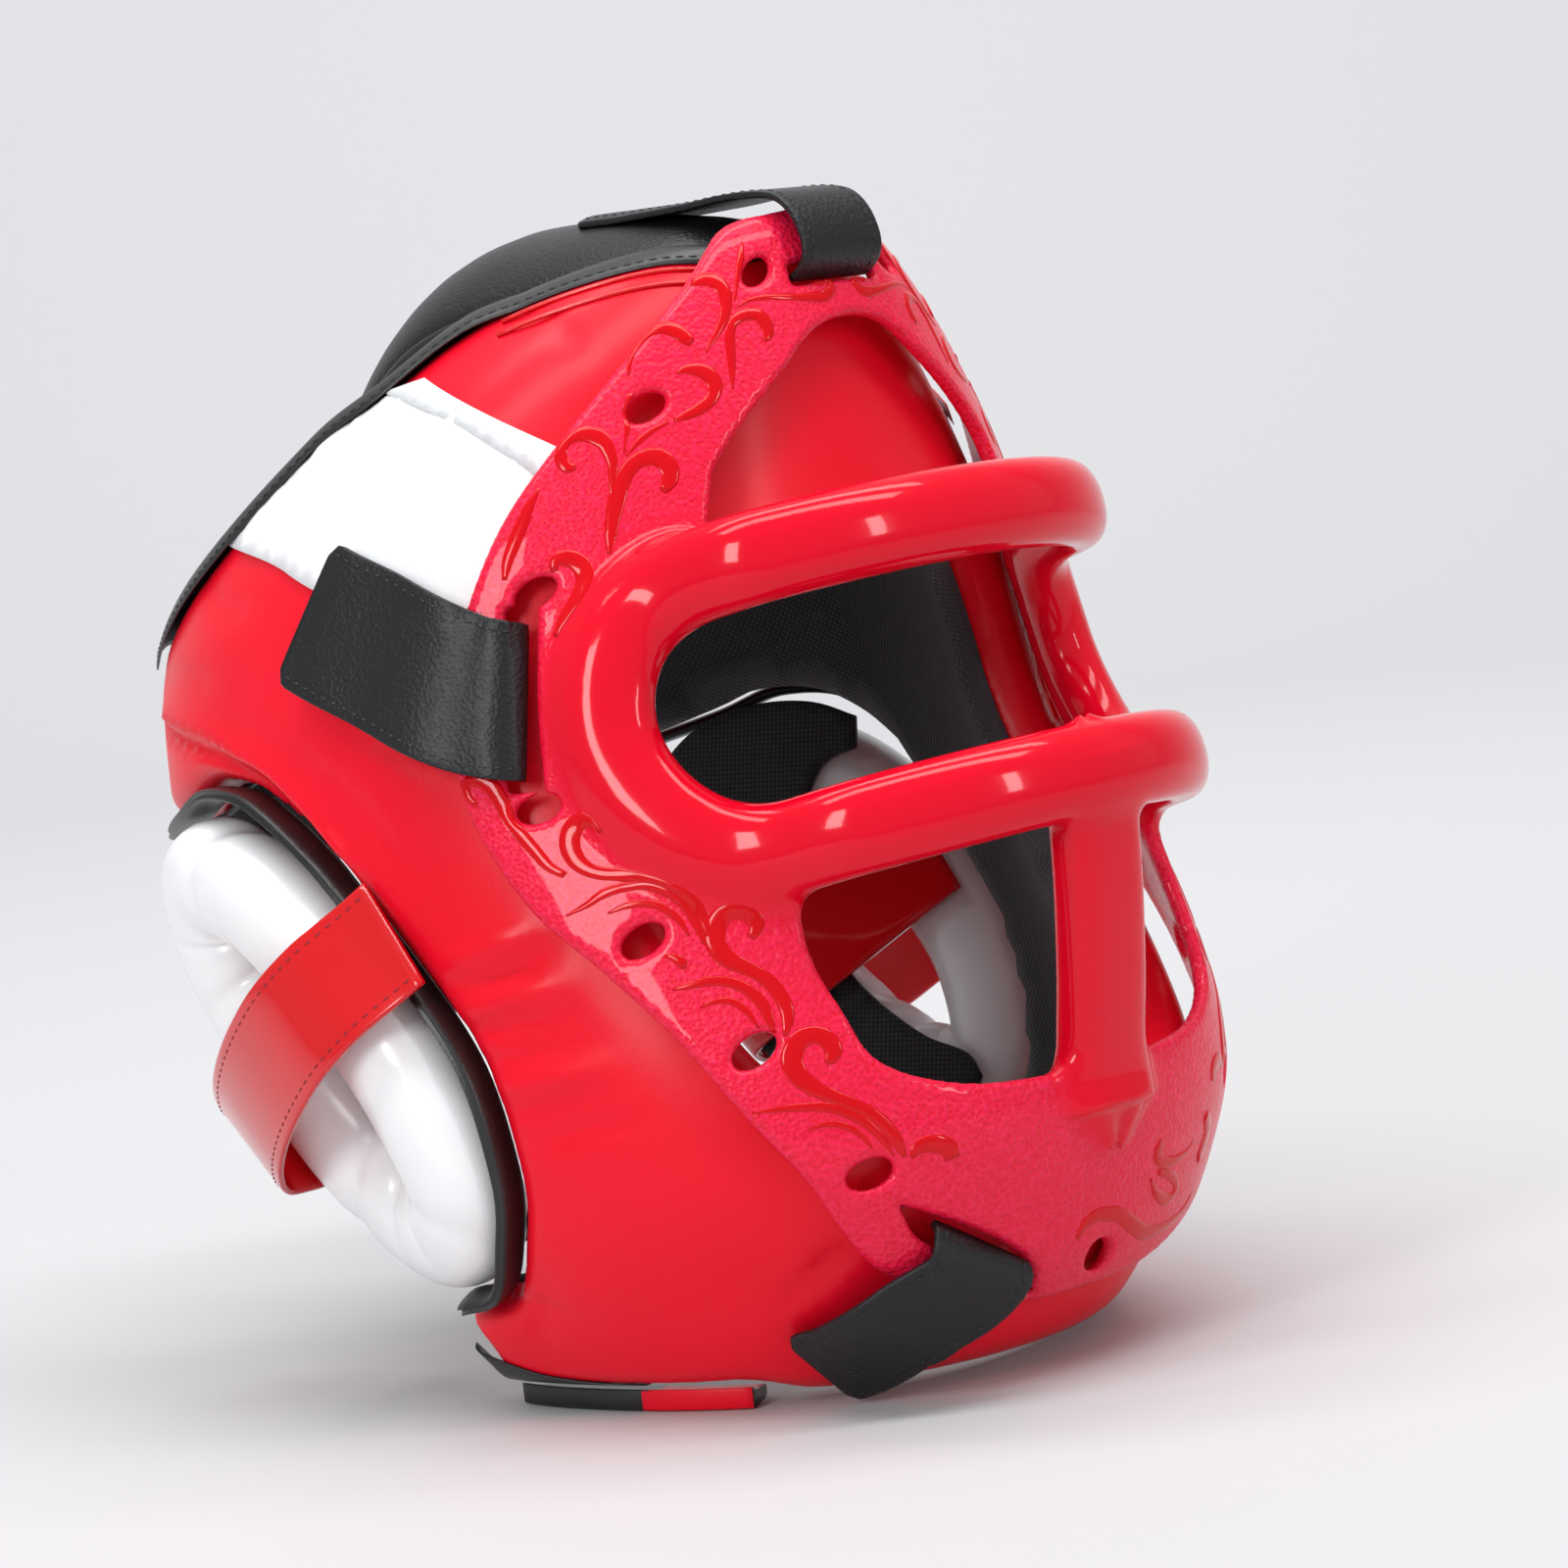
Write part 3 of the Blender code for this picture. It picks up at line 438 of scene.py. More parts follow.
def woven(name, color, hemColor, thread=1.2):
    # diagonal weave, thread spacing in mm, with a plainer hem where the attribute hem is 1; the threads' crests are
    # painted lighter grey, a painted sheen
    mat, tree, shader = surfaceOf(name, color, 0.85, sheen=0.2)
    coord = node(tree, "ShaderNodeTexCoord").outputs["UV"]
    heights = []
    for turn in (45, -45):
        turned = node(tree, "ShaderNodeMapping", {"Vector": coord, "Rotation": (0, 0, math.radians(turn))})
        # the wave texture draws a band every pi / 10 over its scale
        wave = node(tree, "ShaderNodeTexWave",
                    {"Vector": turned.outputs["Vector"], "Scale": math.pi / 10 / (thread * 0.001)},
                    wave_type="BANDS", bands_direction="X", wave_profile="SIN")
        heights.append(wave.outputs["Fac"])
    both = node(tree, "ShaderNodeMath", {0: heights[0], 1: heights[1]}, operation="MULTIPLY")
    hem = node(tree, "ShaderNodeAttribute", attribute_name="hem").outputs["Fac"]
    # painted sheen: where both threads rise, the black is mixed towards a lighter grey
    lit = node(tree, "ShaderNodeMix", {0: both.outputs[0], 6: linear(color), 7: linear("#2B2D30")}, data_type="RGBA")
    dyed = node(tree, "ShaderNodeMix", {0: hem, 6: lit.outputs[2], 7: linear(hemColor)}, data_type="RGBA")
    tree.links.new(dyed.outputs[2], shader.inputs["Base Color"])
    bump = node(tree, "ShaderNodeBump", {"Height": both.outputs[0], "Strength": 0.6, "Distance": 0.0004})
    tree.links.new(bump.outputs["Normal"], shader.inputs["Normal"])
    return mat


redLeather = leather("red coated leather", "#EE0E2C", "#E40820", 0.38, grain=0.7, depth=0.10, creases=0.12,
                     coat=0.14, coatRough=0.2, specular=0.15)
glossRed = leather("gloss red patent leather", "#DA020E", "#C4000A", 0.25, grain=1.0, depth=0.03, creases=0.15,
                   coat=0.8, coatRough=0.05, specular=0.2)
blackLeather = leather("black coated leather", "#141517", "#1C1D20", 0.44, grain=0.8, depth=0.8,
                       coat=0.1, coatRough=0.25, specular=0.3)
blackEdge = leather("black edge binding", "#131415", "#1A1B1C", 0.40, grain=0.7, depth=0.2, coat=0.2, coatRough=0.3)
whiteLeather = leather("white coated leather", "#F6F7F8", "#EFF0F2", 0.30, grain=1.2, depth=0.04, creases=0.25,
                       coat=0.4, coatRough=0.15)
whitePatch = leather("white satin leather", "#F0F1F3", "#E6E8EA", 0.42, grain=0.8, depth=0.05, creases=0.35,
                     coat=0.1, coatRough=0.3)
silverStrip = leather("pale silver webbing", "#E6E8EA", "#DADCE0", 0.36, grain=0.7, depth=0.25, creases=0.1)
blackWeave = woven("black woven lining", "#0E0F11", "#3A3C40")
blackThread = surfaceOf("waxed black thread", "#0C0C0D", 0.45)[0]
redThread = surfaceOf("dark red thread", "#8E0410", 0.5)[0]


def visorPlastic(name, color, shade, rough, grainDepth, grainSize=1.15):
    # moulded plastic: pebbled where the attribute grain is 1, smooth and glossy where it is 0; where the pebble
    # stands higher its colour is mixed towards the paler second colour, a painted sheen on the grain
    mat, tree, shader = surfaceOf(name, color, rough, coat=0.3, coatRough=0.04, specular=0.12)
    coord = node(tree, "ShaderNodeTexCoord").outputs["Object"]
    mask = node(tree, "ShaderNodeAttribute", attribute_name="grain").outputs["Fac"]
    cells = node(tree, "ShaderNodeTexVoronoi", {"Vector": coord, "Scale": 1000 / grainSize, "Randomness": 1.0},
                 feature="SMOOTH_F1")
    masked = node(tree, "ShaderNodeMath", {0: cells.outputs["Distance"], 1: mask}, operation="MULTIPLY")
    # painted sheen: the grain's higher places are painted paler pink
    dyeAndSheen = node(tree, "ShaderNodeMix", {0: masked.outputs[0], 6: linear(color), 7: linear(shade)}, data_type="RGBA")
    tree.links.new(dyeAndSheen.outputs[2], shader.inputs["Base Color"])
    bump = node(tree, "ShaderNodeBump", {"Height": masked.outputs[0], "Strength": grainDepth, "Distance": 0.0006})
    tree.links.new(bump.outputs["Normal"], shader.inputs["Normal"])
    gloss = node(tree, "ShaderNodeMapRange", {"Value": mask, "To Min": 0.14, "To Max": rough})
    tree.links.new(gloss.outputs["Result"], shader.inputs["Roughness"])
    return mat


# the paler pink second colour is the painted sheen on the grain's raised cells
visorMaterial = visorPlastic("moulded pink red plastic", "#DC0624", "#F22858", 0.32, 0.7, 0.95)
scrollMaterial = visorPlastic("smooth raised plastic scroll", "#CC0010", "#CC0010", 0.16, 0.0)

threads = {"earStrap": [], "strap": [], "rim": []}


def stitch(kind, pts, side, out, across, lift, gap=3.0, both=True):
    # stitches a set gap apart on lines beside a strap's middle
    for sign in ((1, -1) if both else (1,)):
        path = pts + side * across * sign + out * lift
        run = np.concatenate([[0], np.cumsum(np.linalg.norm(np.diff(path, axis=0), axis=1))])
        at = np.arange(gap, run[-1] - gap, gap)
        spots, outs = (np.stack([np.interp(at, run, table[:, i]) for i in range(3)], 1)
                       for table in (path, out))
        threads[kind].append(np.concatenate([spots, unit(np.gradient(spots, axis=0)), outs], 1))


def sew(name, rows, size, material):
    # turns the places of stitches into small beads of thread (size in mm) and makes them real
    rows = np.concatenate(rows)
    zero = toRow(np.zeros(3))
    mesh = bpy.data.meshes.new(name)
    mesh.from_pydata(toRow(rows[:, :3]).tolist(), [], [])
    for label, part in (("along", rows[:, 3:6]), ("out", rows[:, 6:9])):
        ways = unit(toRow(part * 1000) - zero).astype(np.float32)
        mesh.attributes.new(label, "FLOAT_VECTOR", "POINT").data.foreach_set("vector", ways.ravel())
    obj = bpy.data.objects.new(name, mesh)
    bpy.context.scene.collection.objects.link(obj)
    tree = bpy.data.node_groups.new(name, "GeometryNodeTree")
    tree.interface.new_socket("Geometry", in_out="INPUT", socket_type="NodeSocketGeometry")
    tree.interface.new_socket("Geometry", in_out="OUTPUT", socket_type="NodeSocketGeometry")
    given = node(tree, "NodeGroupInput")
    ways = [node(tree, "GeometryNodeInputNamedAttribute", {"Name": label}, data_type="FLOAT_VECTOR")
            for label in ("along", "out")]
    first = node(tree, "FunctionNodeAlignRotationToVector", {"Vector": ways[0].outputs["Attribute"]}, axis="X")
    second = node(tree, "FunctionNodeAlignRotationToVector",
                  {"Rotation": first.outputs["Rotation"], "Vector": ways[1].outputs["Attribute"]},
                  axis="Z", pivot_axis="X")
    bead = node(tree, "GeometryNodeMeshUVSphere", {"Segments": 8, "Rings": 5, "Radius": 1.0})
    shaped = node(tree, "GeometryNodeTransform",
                  {"Geometry": bead.outputs["Mesh"], "Scale": [v * 0.0005 for v in size]})
    laid = node(tree, "GeometryNodeInstanceOnPoints",
                {"Points": given.outputs[0], "Instance": shaped.outputs["Geometry"],
                 "Rotation": second.outputs["Rotation"]})
    real = node(tree, "GeometryNodeRealizeInstances", {"Geometry": laid.outputs["Instances"]})
    smooth = node(tree, "GeometryNodeSetShadeSmooth", {"Geometry": real.outputs["Geometry"]})
    dressed = node(tree, "GeometryNodeSetMaterial", {"Geometry": smooth.outputs["Geometry"], "Material": material})
    node(tree, "NodeGroupOutput", {0: dressed.outputs["Geometry"]})
    obj.modifiers.new("sewing", "NODES").node_group = tree
    done = bpy.data.meshes.new_from_object(obj.evaluated_get(bpy.context.evaluated_depsgraph_get()))
    obj.modifiers.clear()
    obj.data = done
    return rides(obj)


def bothSides(rows):
    # stitches of one side, and the same mirrored
    return rows + [row * np.tile([-1, 1, 1], 3) for row in rows]


shell = {"step": 2.5, "roll": 7.6, "fineBand": 8.0, "halfRoll": padThick / 2 - 0.3, "wrinkles": 1.9}


def tableHeight(phi, level):
    # the height on the padding, in the head's frame, that lies this far below its middle when it rests
    low, high = -0.407 * headHeight, -0.2 * headHeight
    for _ in range(40):
        mid = (low + high) / 2
        p = pad.at(phi, mid)
        if -p[1] * math.sin(tilt) + p[2] * math.cos(tilt) < -level:
            low = mid
        else:
            high = mid
    return low


bottomEdge = [(a, tableHeight(a, floorDrop - lipTall * lip) / headHeight) for a, lip in shellBottom]
shellOuter = closedLoop(shellEdge + bottomEdge, True, 3.0)
shellHole = closedLoop(shellFace, True, 3.0)

# seams, grooves and wrinkles of the red cover: points (degrees, height mm), depth, half width
seams = [
    {"line": [(130.5, 87.1), (116, 79), (108.5, 73.6), (102.5, 67.5), (97, 60.7), (85.8, 33.1)],
     "deep": 1.3, "wide": 1.5},
    {"line": [(130, 90.5), (116, 82.4), (108, 77), (101, 70), (94, 61), (84, 36)], "deep": -0.8, "wide": 1.9},
    {"line": [(76, 10.1), (71, 11.5), (66.5, 12.8), (62.5, 14.2)], "deep": -1.0, "wide": 1.5},
    {"line": [(70, 7.4), (66, 8.8), (62.5, 12.8)], "deep": -0.6, "wide": 1.2},
    {"line": [(75, 6.1), (70, 5.0), (64, 6.2), (61, 8.1)], "deep": 1.0, "wide": 1.6},
    {"line": [(75.5, -0.7), (68, 0), (60.5, 0)], "deep": -0.7, "wide": 2.2},
    {"line": [(76, -4.1), (68, -6.1), (61, -7.4)], "deep": 0.9, "wide": 1.9},
    {"line": [(74.5, -12.2), (66.5, -12.8), (59.5, -13.5)], "deep": 0.6, "wide": 2.0},
    {"line": [(75, -18.5), (66.5, -18.8), (60, -19.5)], "deep": -0.5, "wide": 2.0},
    {"line": [(73.5, -24.3), (66, -24.3), (59, -25)], "deep": 0.6, "wide": 1.8},
    {"line": [(71.5, -31.1), (64, -31.1), (58, -32.4)], "deep": 0.7, "wide": 2.2},
    {"line": [(49, -77.5), (45, -73.6), (40.5, -68.8)], "deep": 0.9, "wide": 1.1, "fade": 4.0},
    {"line": [(45.5, -78), (42, -73.8), (38.5, -70.2)], "deep": 0.7, "wide": 1.0, "fade": 4.0},
    {"line": [(76.5, -56), (81.5, -64.8), (88, -75.6)], "deep": 0.6, "wide": 3.2},
    {"line": [(91.5, -63), (84.5, -65.5), (76.5, -71.5)], "deep": 0.6, "wide": 2.6},
    {"line": [(78, 63), (72, 58.5), (67, 52.6)], "deep": 0.7, "wide": 2.6},
    {"line": [(93, 66), (86, 58), (80, 46), (77, 32)], "deep": 0.5, "wide": 3.0},
    {"line": [(112, 112), (104, 104), (97, 100)], "deep": 0.5, "wide": 2.2},
    {"line": [(130, 99), (118, 94), (106, 89)], "deep": 0.5, "wide": 2.4},
    {"line": [(60, 146), (50, 141), (42, 132)], "deep": 0.4, "wide": 2.6},
]


def relief(spots, table):
    # sum of soft grooves and ridges: positive is raised
    total = np.zeros(len(spots))
    folded = np.stack([np.abs(spots[:, 0]), spots[:, 1]], 1)
    for row in table:
        line = curveThrough([(a * flat, z) for a, z in row["line"]], 4.0)
        near = clearance(folded, line, False)
        ends = np.minimum(np.linalg.norm(folded - line[0], axis=1),
                          np.linalg.norm(folded - line[-1], axis=1))
        fade = np.clip((ends + 1.0) / row.get("fade", 8.0), 0, 1)
        total -= shell["wrinkles"] * row["deep"] * fade * np.exp(-(near / row["wide"])**2)
    return total


spots, tris, edge = flatMesh(shellOuter, [shellHole], shell["step"], shell["fineBand"])
phi, z = spots[:, 0] / flat, spots[:, 1]
fall = rolled(edge, shell["roll"], shell["halfRoll"])
topSide = pad.off(phi, z, -fall + relief(spots, seams))
lowSide = pad.off(phi, z, -padThick + fall)
shellPiece = stands(piece("padShell", *wallOf(spots, tris, topSide, lowSide), redLeather), "pad_shell")

lining = {"step": 5.0, "roll": 7.0, "fall": 4.5, "hem": 7.0}
spots, tris, edge = flatMesh(shellOuter, [shellHole], lining["step"])
phi, z = spots[:, 0] / flat, spots[:, 1]
fall = rolled(edge, lining["roll"], lining["fall"])
liningTop = -padThick - fitGap
shape = wallOf(spots, tris, pad.off(phi, z, liningTop + fall), pad.off(phi, z, liningTop - liningThick + fall))
liningPiece = stands(piece("innerLining", *shape, blackWeave), "lining")
weaveMap(liningPiece, spots, edge, lining["hem"])

panel = {"step": 3.2, "fineBand": 9.0, "roll": 7.0, "sunk": 1.0}
back = closedLoop(backEdge + [(360 - a, h) for a, h in backEdge[::-1][1:-1]], False, 3.0)
spots, tris, edge = flatMesh(back, [], panel["step"], panel["fineBand"])
fall = rolled(edge, panel["roll"], padThick / 2 - 0.6)
phi, z = spots[:, 0] / flat, spots[:, 1]
shape = wallOf(spots, tris, pad.off(phi, z, -panel["sunk"] - fall), pad.off(phi, z, -padThick + fall))
backPiece = stands(piece("backPanel", *shape, blackLeather), "back_panel")
print("padding done")

# middle line of the crown cushion: back, top, half width
flapLine = [
    (-82, 153.8, 13), (-75, 156.9, 19), (-66, 160.4, 25), (-52, 165.4, 29), (-34, 169.9, 32), (-14, 173.4, 34),
    (6, 172.4, 35), (26, 165.6, 34), (46, 153.4, 31), (66, 138.4, 28), (84, 123.4, 24), (94, 113.4, 19),
    (97, 109.0, 12)]
flap = {"thick": 11.0, "arch": 0.0125, "sides": 40, "power": 2.6, "taper": 0.06}
fine = curveThrough(flapLine, 3.0)
centres, frames, sections = [], [], []
for i, (y, z, w) in enumerate(fine):
    a, b = fine[max(i - 1, 0)], fine[min(i + 1, len(fine) - 1)]
    t = unit([b[0] - a[0], b[1] - a[1]])
    up = np.array([0, -t[1], t[0]])
    u = i / (len(fine) - 1)
    end = min(u, 1 - u) / flap["taper"]
    thick = flap["thick"] / 2 * min(1.0, 0.5 + 0.5 * math.sqrt(min(1.0, end)))
    sec = oval(w, thick, flap["sides"], flap["power"])
    sec[:, 1] -= flap["arch"] * sec[:, 0]**2
    centres.append(np.array([0, y, z]) - up * flap["thick"] / 2)
    frames.append((np.array([1.0, 0, 0]), up))
    sections.append(sec)
flapPiece = stands(piece("crownFlap", *sweep(centres, frames, sections), blackLeather), "crown_flap")

# the crown opening's edge, from one rear corner over the forehead to the other
rim = [p for p in shellEdge if p[1] >= .399 and p[0] <= 136.5]
rim = np.array([(-a, h) for a, h in rim[:0:-1]] + rim)
rim = curveThrough(rim * [flat, headHeight], 3.0)
inward = unit(np.gradient(rim, axis=0))[:, ::-1] * [1, -1]
inward = inward * -np.sign(inward[:, 1:2])
binding = {"reach": 7.4, "skin": 0.5, "lift": 0.15, "roll": 3.6, "overPatch": 1.7, "seam": 1.6}
# it rides over the white patch beside the crown
patchRise = binding["overPatch"] * np.clip((np.abs(rim[:, 0]) / flat - 58) / 8, 0, 1)


def onShell(reach, out):
    # points along the rim, a flat distance in from the shell's edge and a height over the cover
    path = rim + inward * reach
    return pad.off(path[:, 0] / flat, path[:, 1], np.zeros(len(path)) + out)


def bindingSkin(lift):
    # across the band: over the face, round the edge and down inside
    steps = np.array([1.0, 0.8, 0.6, 0.42, 0.26, 0.12, 0.03]) * binding["reach"]
    fall = rolled(steps, shell["roll"], shell["halfRoll"])
    puffed = rolled(steps, binding["roll"], shell["halfRoll"])
    face = [onShell(e, lift - f + patchRise) for e, f in zip(steps, puffed)]
    inner = [onShell(e, f - padThick - lift) for e, f in zip(steps[:1:-1], fall[:1:-1])]
    return np.stack(face + [onShell(-lift, -padThick / 2)] + inner, 1)


cover, under = bindingSkin(binding["lift"] + binding["skin"]), bindingSkin(binding["lift"])
section = np.concatenate([cover, under[:, ::-1]], 1)
stands(piece("crownBinding", section.reshape(-1, 3), tubeFaces(len(rim), section.shape[1]), blackEdge),
       "crown_binding")
nrm = pad.normal(rim[:, 0] / flat, rim[:, 1])
seamLine = onShell(binding["reach"] - binding["seam"], patchRise + binding["lift"] + binding["skin"])
stitch("rim", seamLine, nrm, nrm, 0.0, 0.0, both=False)

# two thin red pipes under the band, from beside the top strap to the white patch
pipe = {"radius": 0.55, "from": 13.0, "to": 61.0, "drops": (1.2, 4.4), "lift": 0.25, "sides": 10}
pipes = []
for drop in pipe["drops"]:
    for sign in (-1, 1):
        keep = (rim[:, 0] * sign / flat > pipe["from"]) & (rim[:, 0] * sign / flat < pipe["to"])
        path = rim[keep] + inward[keep] * (binding["reach"] + drop)
        a, h = path[:, 0] / flat, path[:, 1]
        spotsOn, outs = pad.off(a, h, np.full(len(a), pipe["lift"])), pad.normal(a, h)
        ways = unit(np.cross(unit(np.gradient(spotsOn, axis=0)), outs))
        pipes.append(sweep(spotsOn, list(zip(ways, outs)), oval(pipe["radius"], pipe["radius"], pipe["sides"])))
rides(piece("rimPiping", *joined(pipes), glossRed))

# rolled edge along both sides of the crown cushion
roll = {"radius": 1.9, "in": 0.7, "low": 1.6, "ends": 3, "sides": 14}
rolls = []
for sign in (-1, 1):
    spotsOn, ways = [], []
    for i in range(roll["ends"], len(fine) - roll["ends"]):
        y, z, w = fine[i]
        step = unit([fine[i + 1][0] - fine[i - 1][0], fine[i + 1][1] - fine[i - 1][1]])
        rise = np.array([0, -step[1], step[0]])
        x = w - roll["in"]
        drop = flap["thick"] / 2 + flap["arch"] * x * x + roll["low"]
        spotsOn.append(np.array([sign * x, y, z]) - rise * drop)
        ways.append((np.array([1.0, 0, 0]), rise))
    rolls.append(sweep(spotsOn, ways, oval(roll["radius"], roll["radius"], roll["sides"])))
rides(piece("flapRoll", *joined(rolls), blackEdge))

# white patch at the temple and its pale strip: piece, node, outline, material, top and bottom over the padding
patches = [
    ("sidePatch", "side_patch_", patchEdge, whitePatch, 1.7, 0.8),
    ("patchStrip", "patch_strip_", stripEdge, silverStrip, 2.25, 1.75)]
for sideName, mirrored in sides:
    for name, slot, outline, material, top, bottom in patches:
        ring = closedLoop(outline, False, 2.5, 30.0)
        spots, tris, edge = flatMesh(ring, [], 3.0)
        phi, z = spots[:, 0] / flat, spots[:, 1]
        height = top - rolled(edge, 1.2, 0.4)
        if name == "sidePatch":
            # it puckers along its sewn border
            height = height + 0.35 * np.sin(spots[:, 0] / 3.1 + 0.6 * np.sin(z / 9)) * np.exp(-edge / 7)
        shape = wallOf(spots, tris, pad.off(phi, z, height), pad.off(phi, z, np.full(len(phi), bottom)))
        stands(piece(name + sideName, *shape, material, mirrored=mirrored), slot + sideName.lower())


# the visor's plate, eye ring and nose bar are one moulding, meshed from a grid of distances
visor = {"cell": 1.15, "edgeRound": 1.3, "blend": 7.0, "barTall": 20.0, "barDeep": 14.0, "barPower": 2.3,
         "ringHalf": 30.5, "eyeMid": 44.5, "browReach": 49.0, "lowerReach": 62.0, "barHalf": 66.0, "straight": 70.0,
         "barCentre": 75.0, "barTurn": 86.0, "barEnd": 46.5, "joinStart": 0.56, "joinSpan": 0.34,
         "noseWide": 22.0, "noseDeep": 12.0, "nosePower": 3.2, "noseBlend": 4.0, "holeLong": 9.5, "holeWide": 6.0,
         "far": 30.0, "smoothNear": 1.5, "grainOver": 6.0}


def holeRing(phi, h, turn, n=24):
    o = oval(visor["holeLong"] / 2, visor["holeWide"] / 2, n)
    c, s = math.cos(math.radians(turn)), math.sin(math.radians(turn))
    return o @ np.array([[c, -s], [s, c]]) + [phi * flat, h * headHeight]


def barPoint(t, z):
    # the bars' middle at a share of their run to each side: free in front, on the plate at the ends
    sign, t = np.where(t < 0, -1.0, 1.0), np.abs(t)
    mix = np.clip((z - (visor["eyeMid"] - visor["ringHalf"])) / (2 * visor["ringHalf"]), 0, 1)
    reach = visor["lowerReach"] + (visor["browReach"] - visor["lowerReach"]) * mix
    ang = t * math.radians(visor["barTurn"])
    free = np.stack([-visor["barHalf"] * np.sin(ang), -visor["barCentre"] - reach * np.cos(ang), z], -1)
    on = visorSurface.off(visor["barEnd"] * t, z, np.full(np.shape(t), -1.0))
    w = np.clip((t - visor["joinStart"]) / visor["joinSpan"], 0, 1)
    w = (w * w * (3 - 2 * w))[..., None]
    p = free * (1 - w) + on * w
    p[..., 0] *= sign
    return p


def ringLine():
    # centre line and section axes of the eye ring, both sides
    half, straight, mid = visor["ringHalf"], visor["straight"], visor["eyeMid"]
    s = np.arange(-straight, straight, 1.5)
    t = np.arange(math.pi / 2, -math.pi / 2, -0.05)
    path = np.concatenate([np.stack([s, np.full(len(s), mid + half)], -1),
                           np.stack([straight + half * np.cos(t), mid + half * np.sin(t)], -1),
                           np.stack([-s, np.full(len(s), mid - half)], -1),
                           np.stack([-straight - half * np.cos(t), mid - half * np.sin(t)], -1)])
    full = straight + half
    c = barPoint(path[:, 0] / full, path[:, 1])
    along = unit(np.roll(c, -1, 0) - np.roll(c, 1, 0))
    across = unit(barPoint((path[:, 0] - 1) / full, path[:, 1]) - barPoint((path[:, 0] + 1) / full, path[:, 1]))
    out = unit(np.cross(across, [0, 0, 1.0]))
    out = out * -np.sign(out[:, 1:2])
    side = unit(np.cross(along, out))
    return c, along, side, unit(np.cross(side, along))


def tubeDistance(points, line, halfSide, halfOut, power):
    # distance from a swept oval bar
    c, along, side, out = line
    batch, slack = 60000, 2.5
    best = np.empty(len(points), int)
    cc = (c**2).sum(1)
    for i in range(0, len(points), batch):
        chunk = points[i:i + batch]
        best[i:i + batch] = np.argmin(cc[None] - 2 * chunk @ c.T, axis=1)
    v = points - c[best]
    ahead = (v * along[best]).sum(1, keepdims=True)
    v = v - ahead * along[best] * (np.abs(ahead) < slack)
    a, b = (v * side[best]).sum(1), (v * out[best]).sum(1)
    ha, hb = np.broadcast_to(halfSide, len(c))[best], np.broadcast_to(halfOut, len(c))[best]
    q = (np.abs(a / ha)**power + np.abs(b / hb)**power)**(1 / power)
    far = np.sqrt(a * a + b * b)
    caps = np.abs((v * along[best]).sum(1))
    return np.where(q > 1e-6, far * (1 - 1 / np.maximum(q, 1e-6)), -np.minimum(ha, hb)) + caps * (caps > slack)


def merge(a, b, k):
    # union of two distances with a soft fillet
    h = np.maximum(k - np.abs(a - b), 0) / k
    return np.minimum(a, b) - h * h * k / 4


def surfaceNet(f, origin, size):
    # quads on the zero level of a grid of distances
    s = f < 0
    shape = np.array(f.shape) - 1
    corners = [(i, j, k) for i in (0, 1) for j in (0, 1) for k in (0, 1)]
    total = sum(s[i:i + shape[0], j:j + shape[1], k:k + shape[2]].astype(np.int8) for i, j, k in corners)
    cells = np.argwhere((total > 0) & (total < 8))
    acc, count = np.zeros((len(cells), 3)), np.zeros(len(cells))
    for a in corners:
        for axis in range(3):
            if a[axis]:
                continue
            b = list(a)
            b[axis] = 1
            va, vb = f[tuple((cells + a).T)], f[tuple((cells + b).T)]
            hit = (va < 0) != (vb < 0)
            t = np.where(hit, va / np.where(hit, va - vb, 1), 0)
            spot = np.array(a, float) + (np.array(b) - np.array(a)) * t[:, None]
            acc += spot * hit[:, None]
            count += hit
    verts = origin + (cells + acc / count[:, None]) * size
    number = np.full(shape, -1)
    number[tuple(cells.T)] = np.arange(len(cells))
    quads = []
    for axis in range(3):
        u, v = (axis + 1) % 3, (axis + 2) % 3
        low = [slice(1, -1)] * 3
        low[axis] = slice(0, -1)
        high = list(low)
        high[axis] = slice(1, None)
        change = np.argwhere(s[tuple(low)] != s[tuple(high)])
        at = change.copy()
        at[:, u] += 1
        at[:, v] += 1
        rows = []
        for du, dv in ((1, 1), (0, 1), (0, 0), (1, 0)):
            c = at.copy()
            c[:, u] -= du
            c[:, v] -= dv
            rows.append(number[tuple(c.T)])
        q = np.stack(rows, 1)
        flip = s[tuple(at.T)]
        q[~flip] = q[~flip][:, ::-1]
        quads.append(q)
    return verts, np.concatenate(quads)


def gridValue(table, p, origin, size):
    # a grid's value at points between its nodes
    q = np.clip((p - origin) / size, 0, np.array(table.shape) - 1.001)
    i = q.astype(int)
    t = q - i
    out = 0
    for dx in (0, 1):
        for dy in (0, 1):
            for dz in (0, 1):
                w = np.abs(1 - dx - t[:, 0]) * np.abs(1 - dy - t[:, 1]) * np.abs(1 - dz - t[:, 2])
                out = out + table[i[:, 0] + dx, i[:, 1] + dy, i[:, 2] + dz] * w
    return out


def ontoSurface(p, f, grads, origin, size, rounds=2):
    # moves points to the zero level of a grid of distances; gives them and the way out
    for _ in range(rounds):
        g = np.stack([gridValue(t, p, origin, size) for t in grads], 1)
        p = p - gridValue(f, p, origin, size)[:, None] * g / np.maximum((g * g).sum(1, keepdims=True), 0.25)
    return p, unit(g)


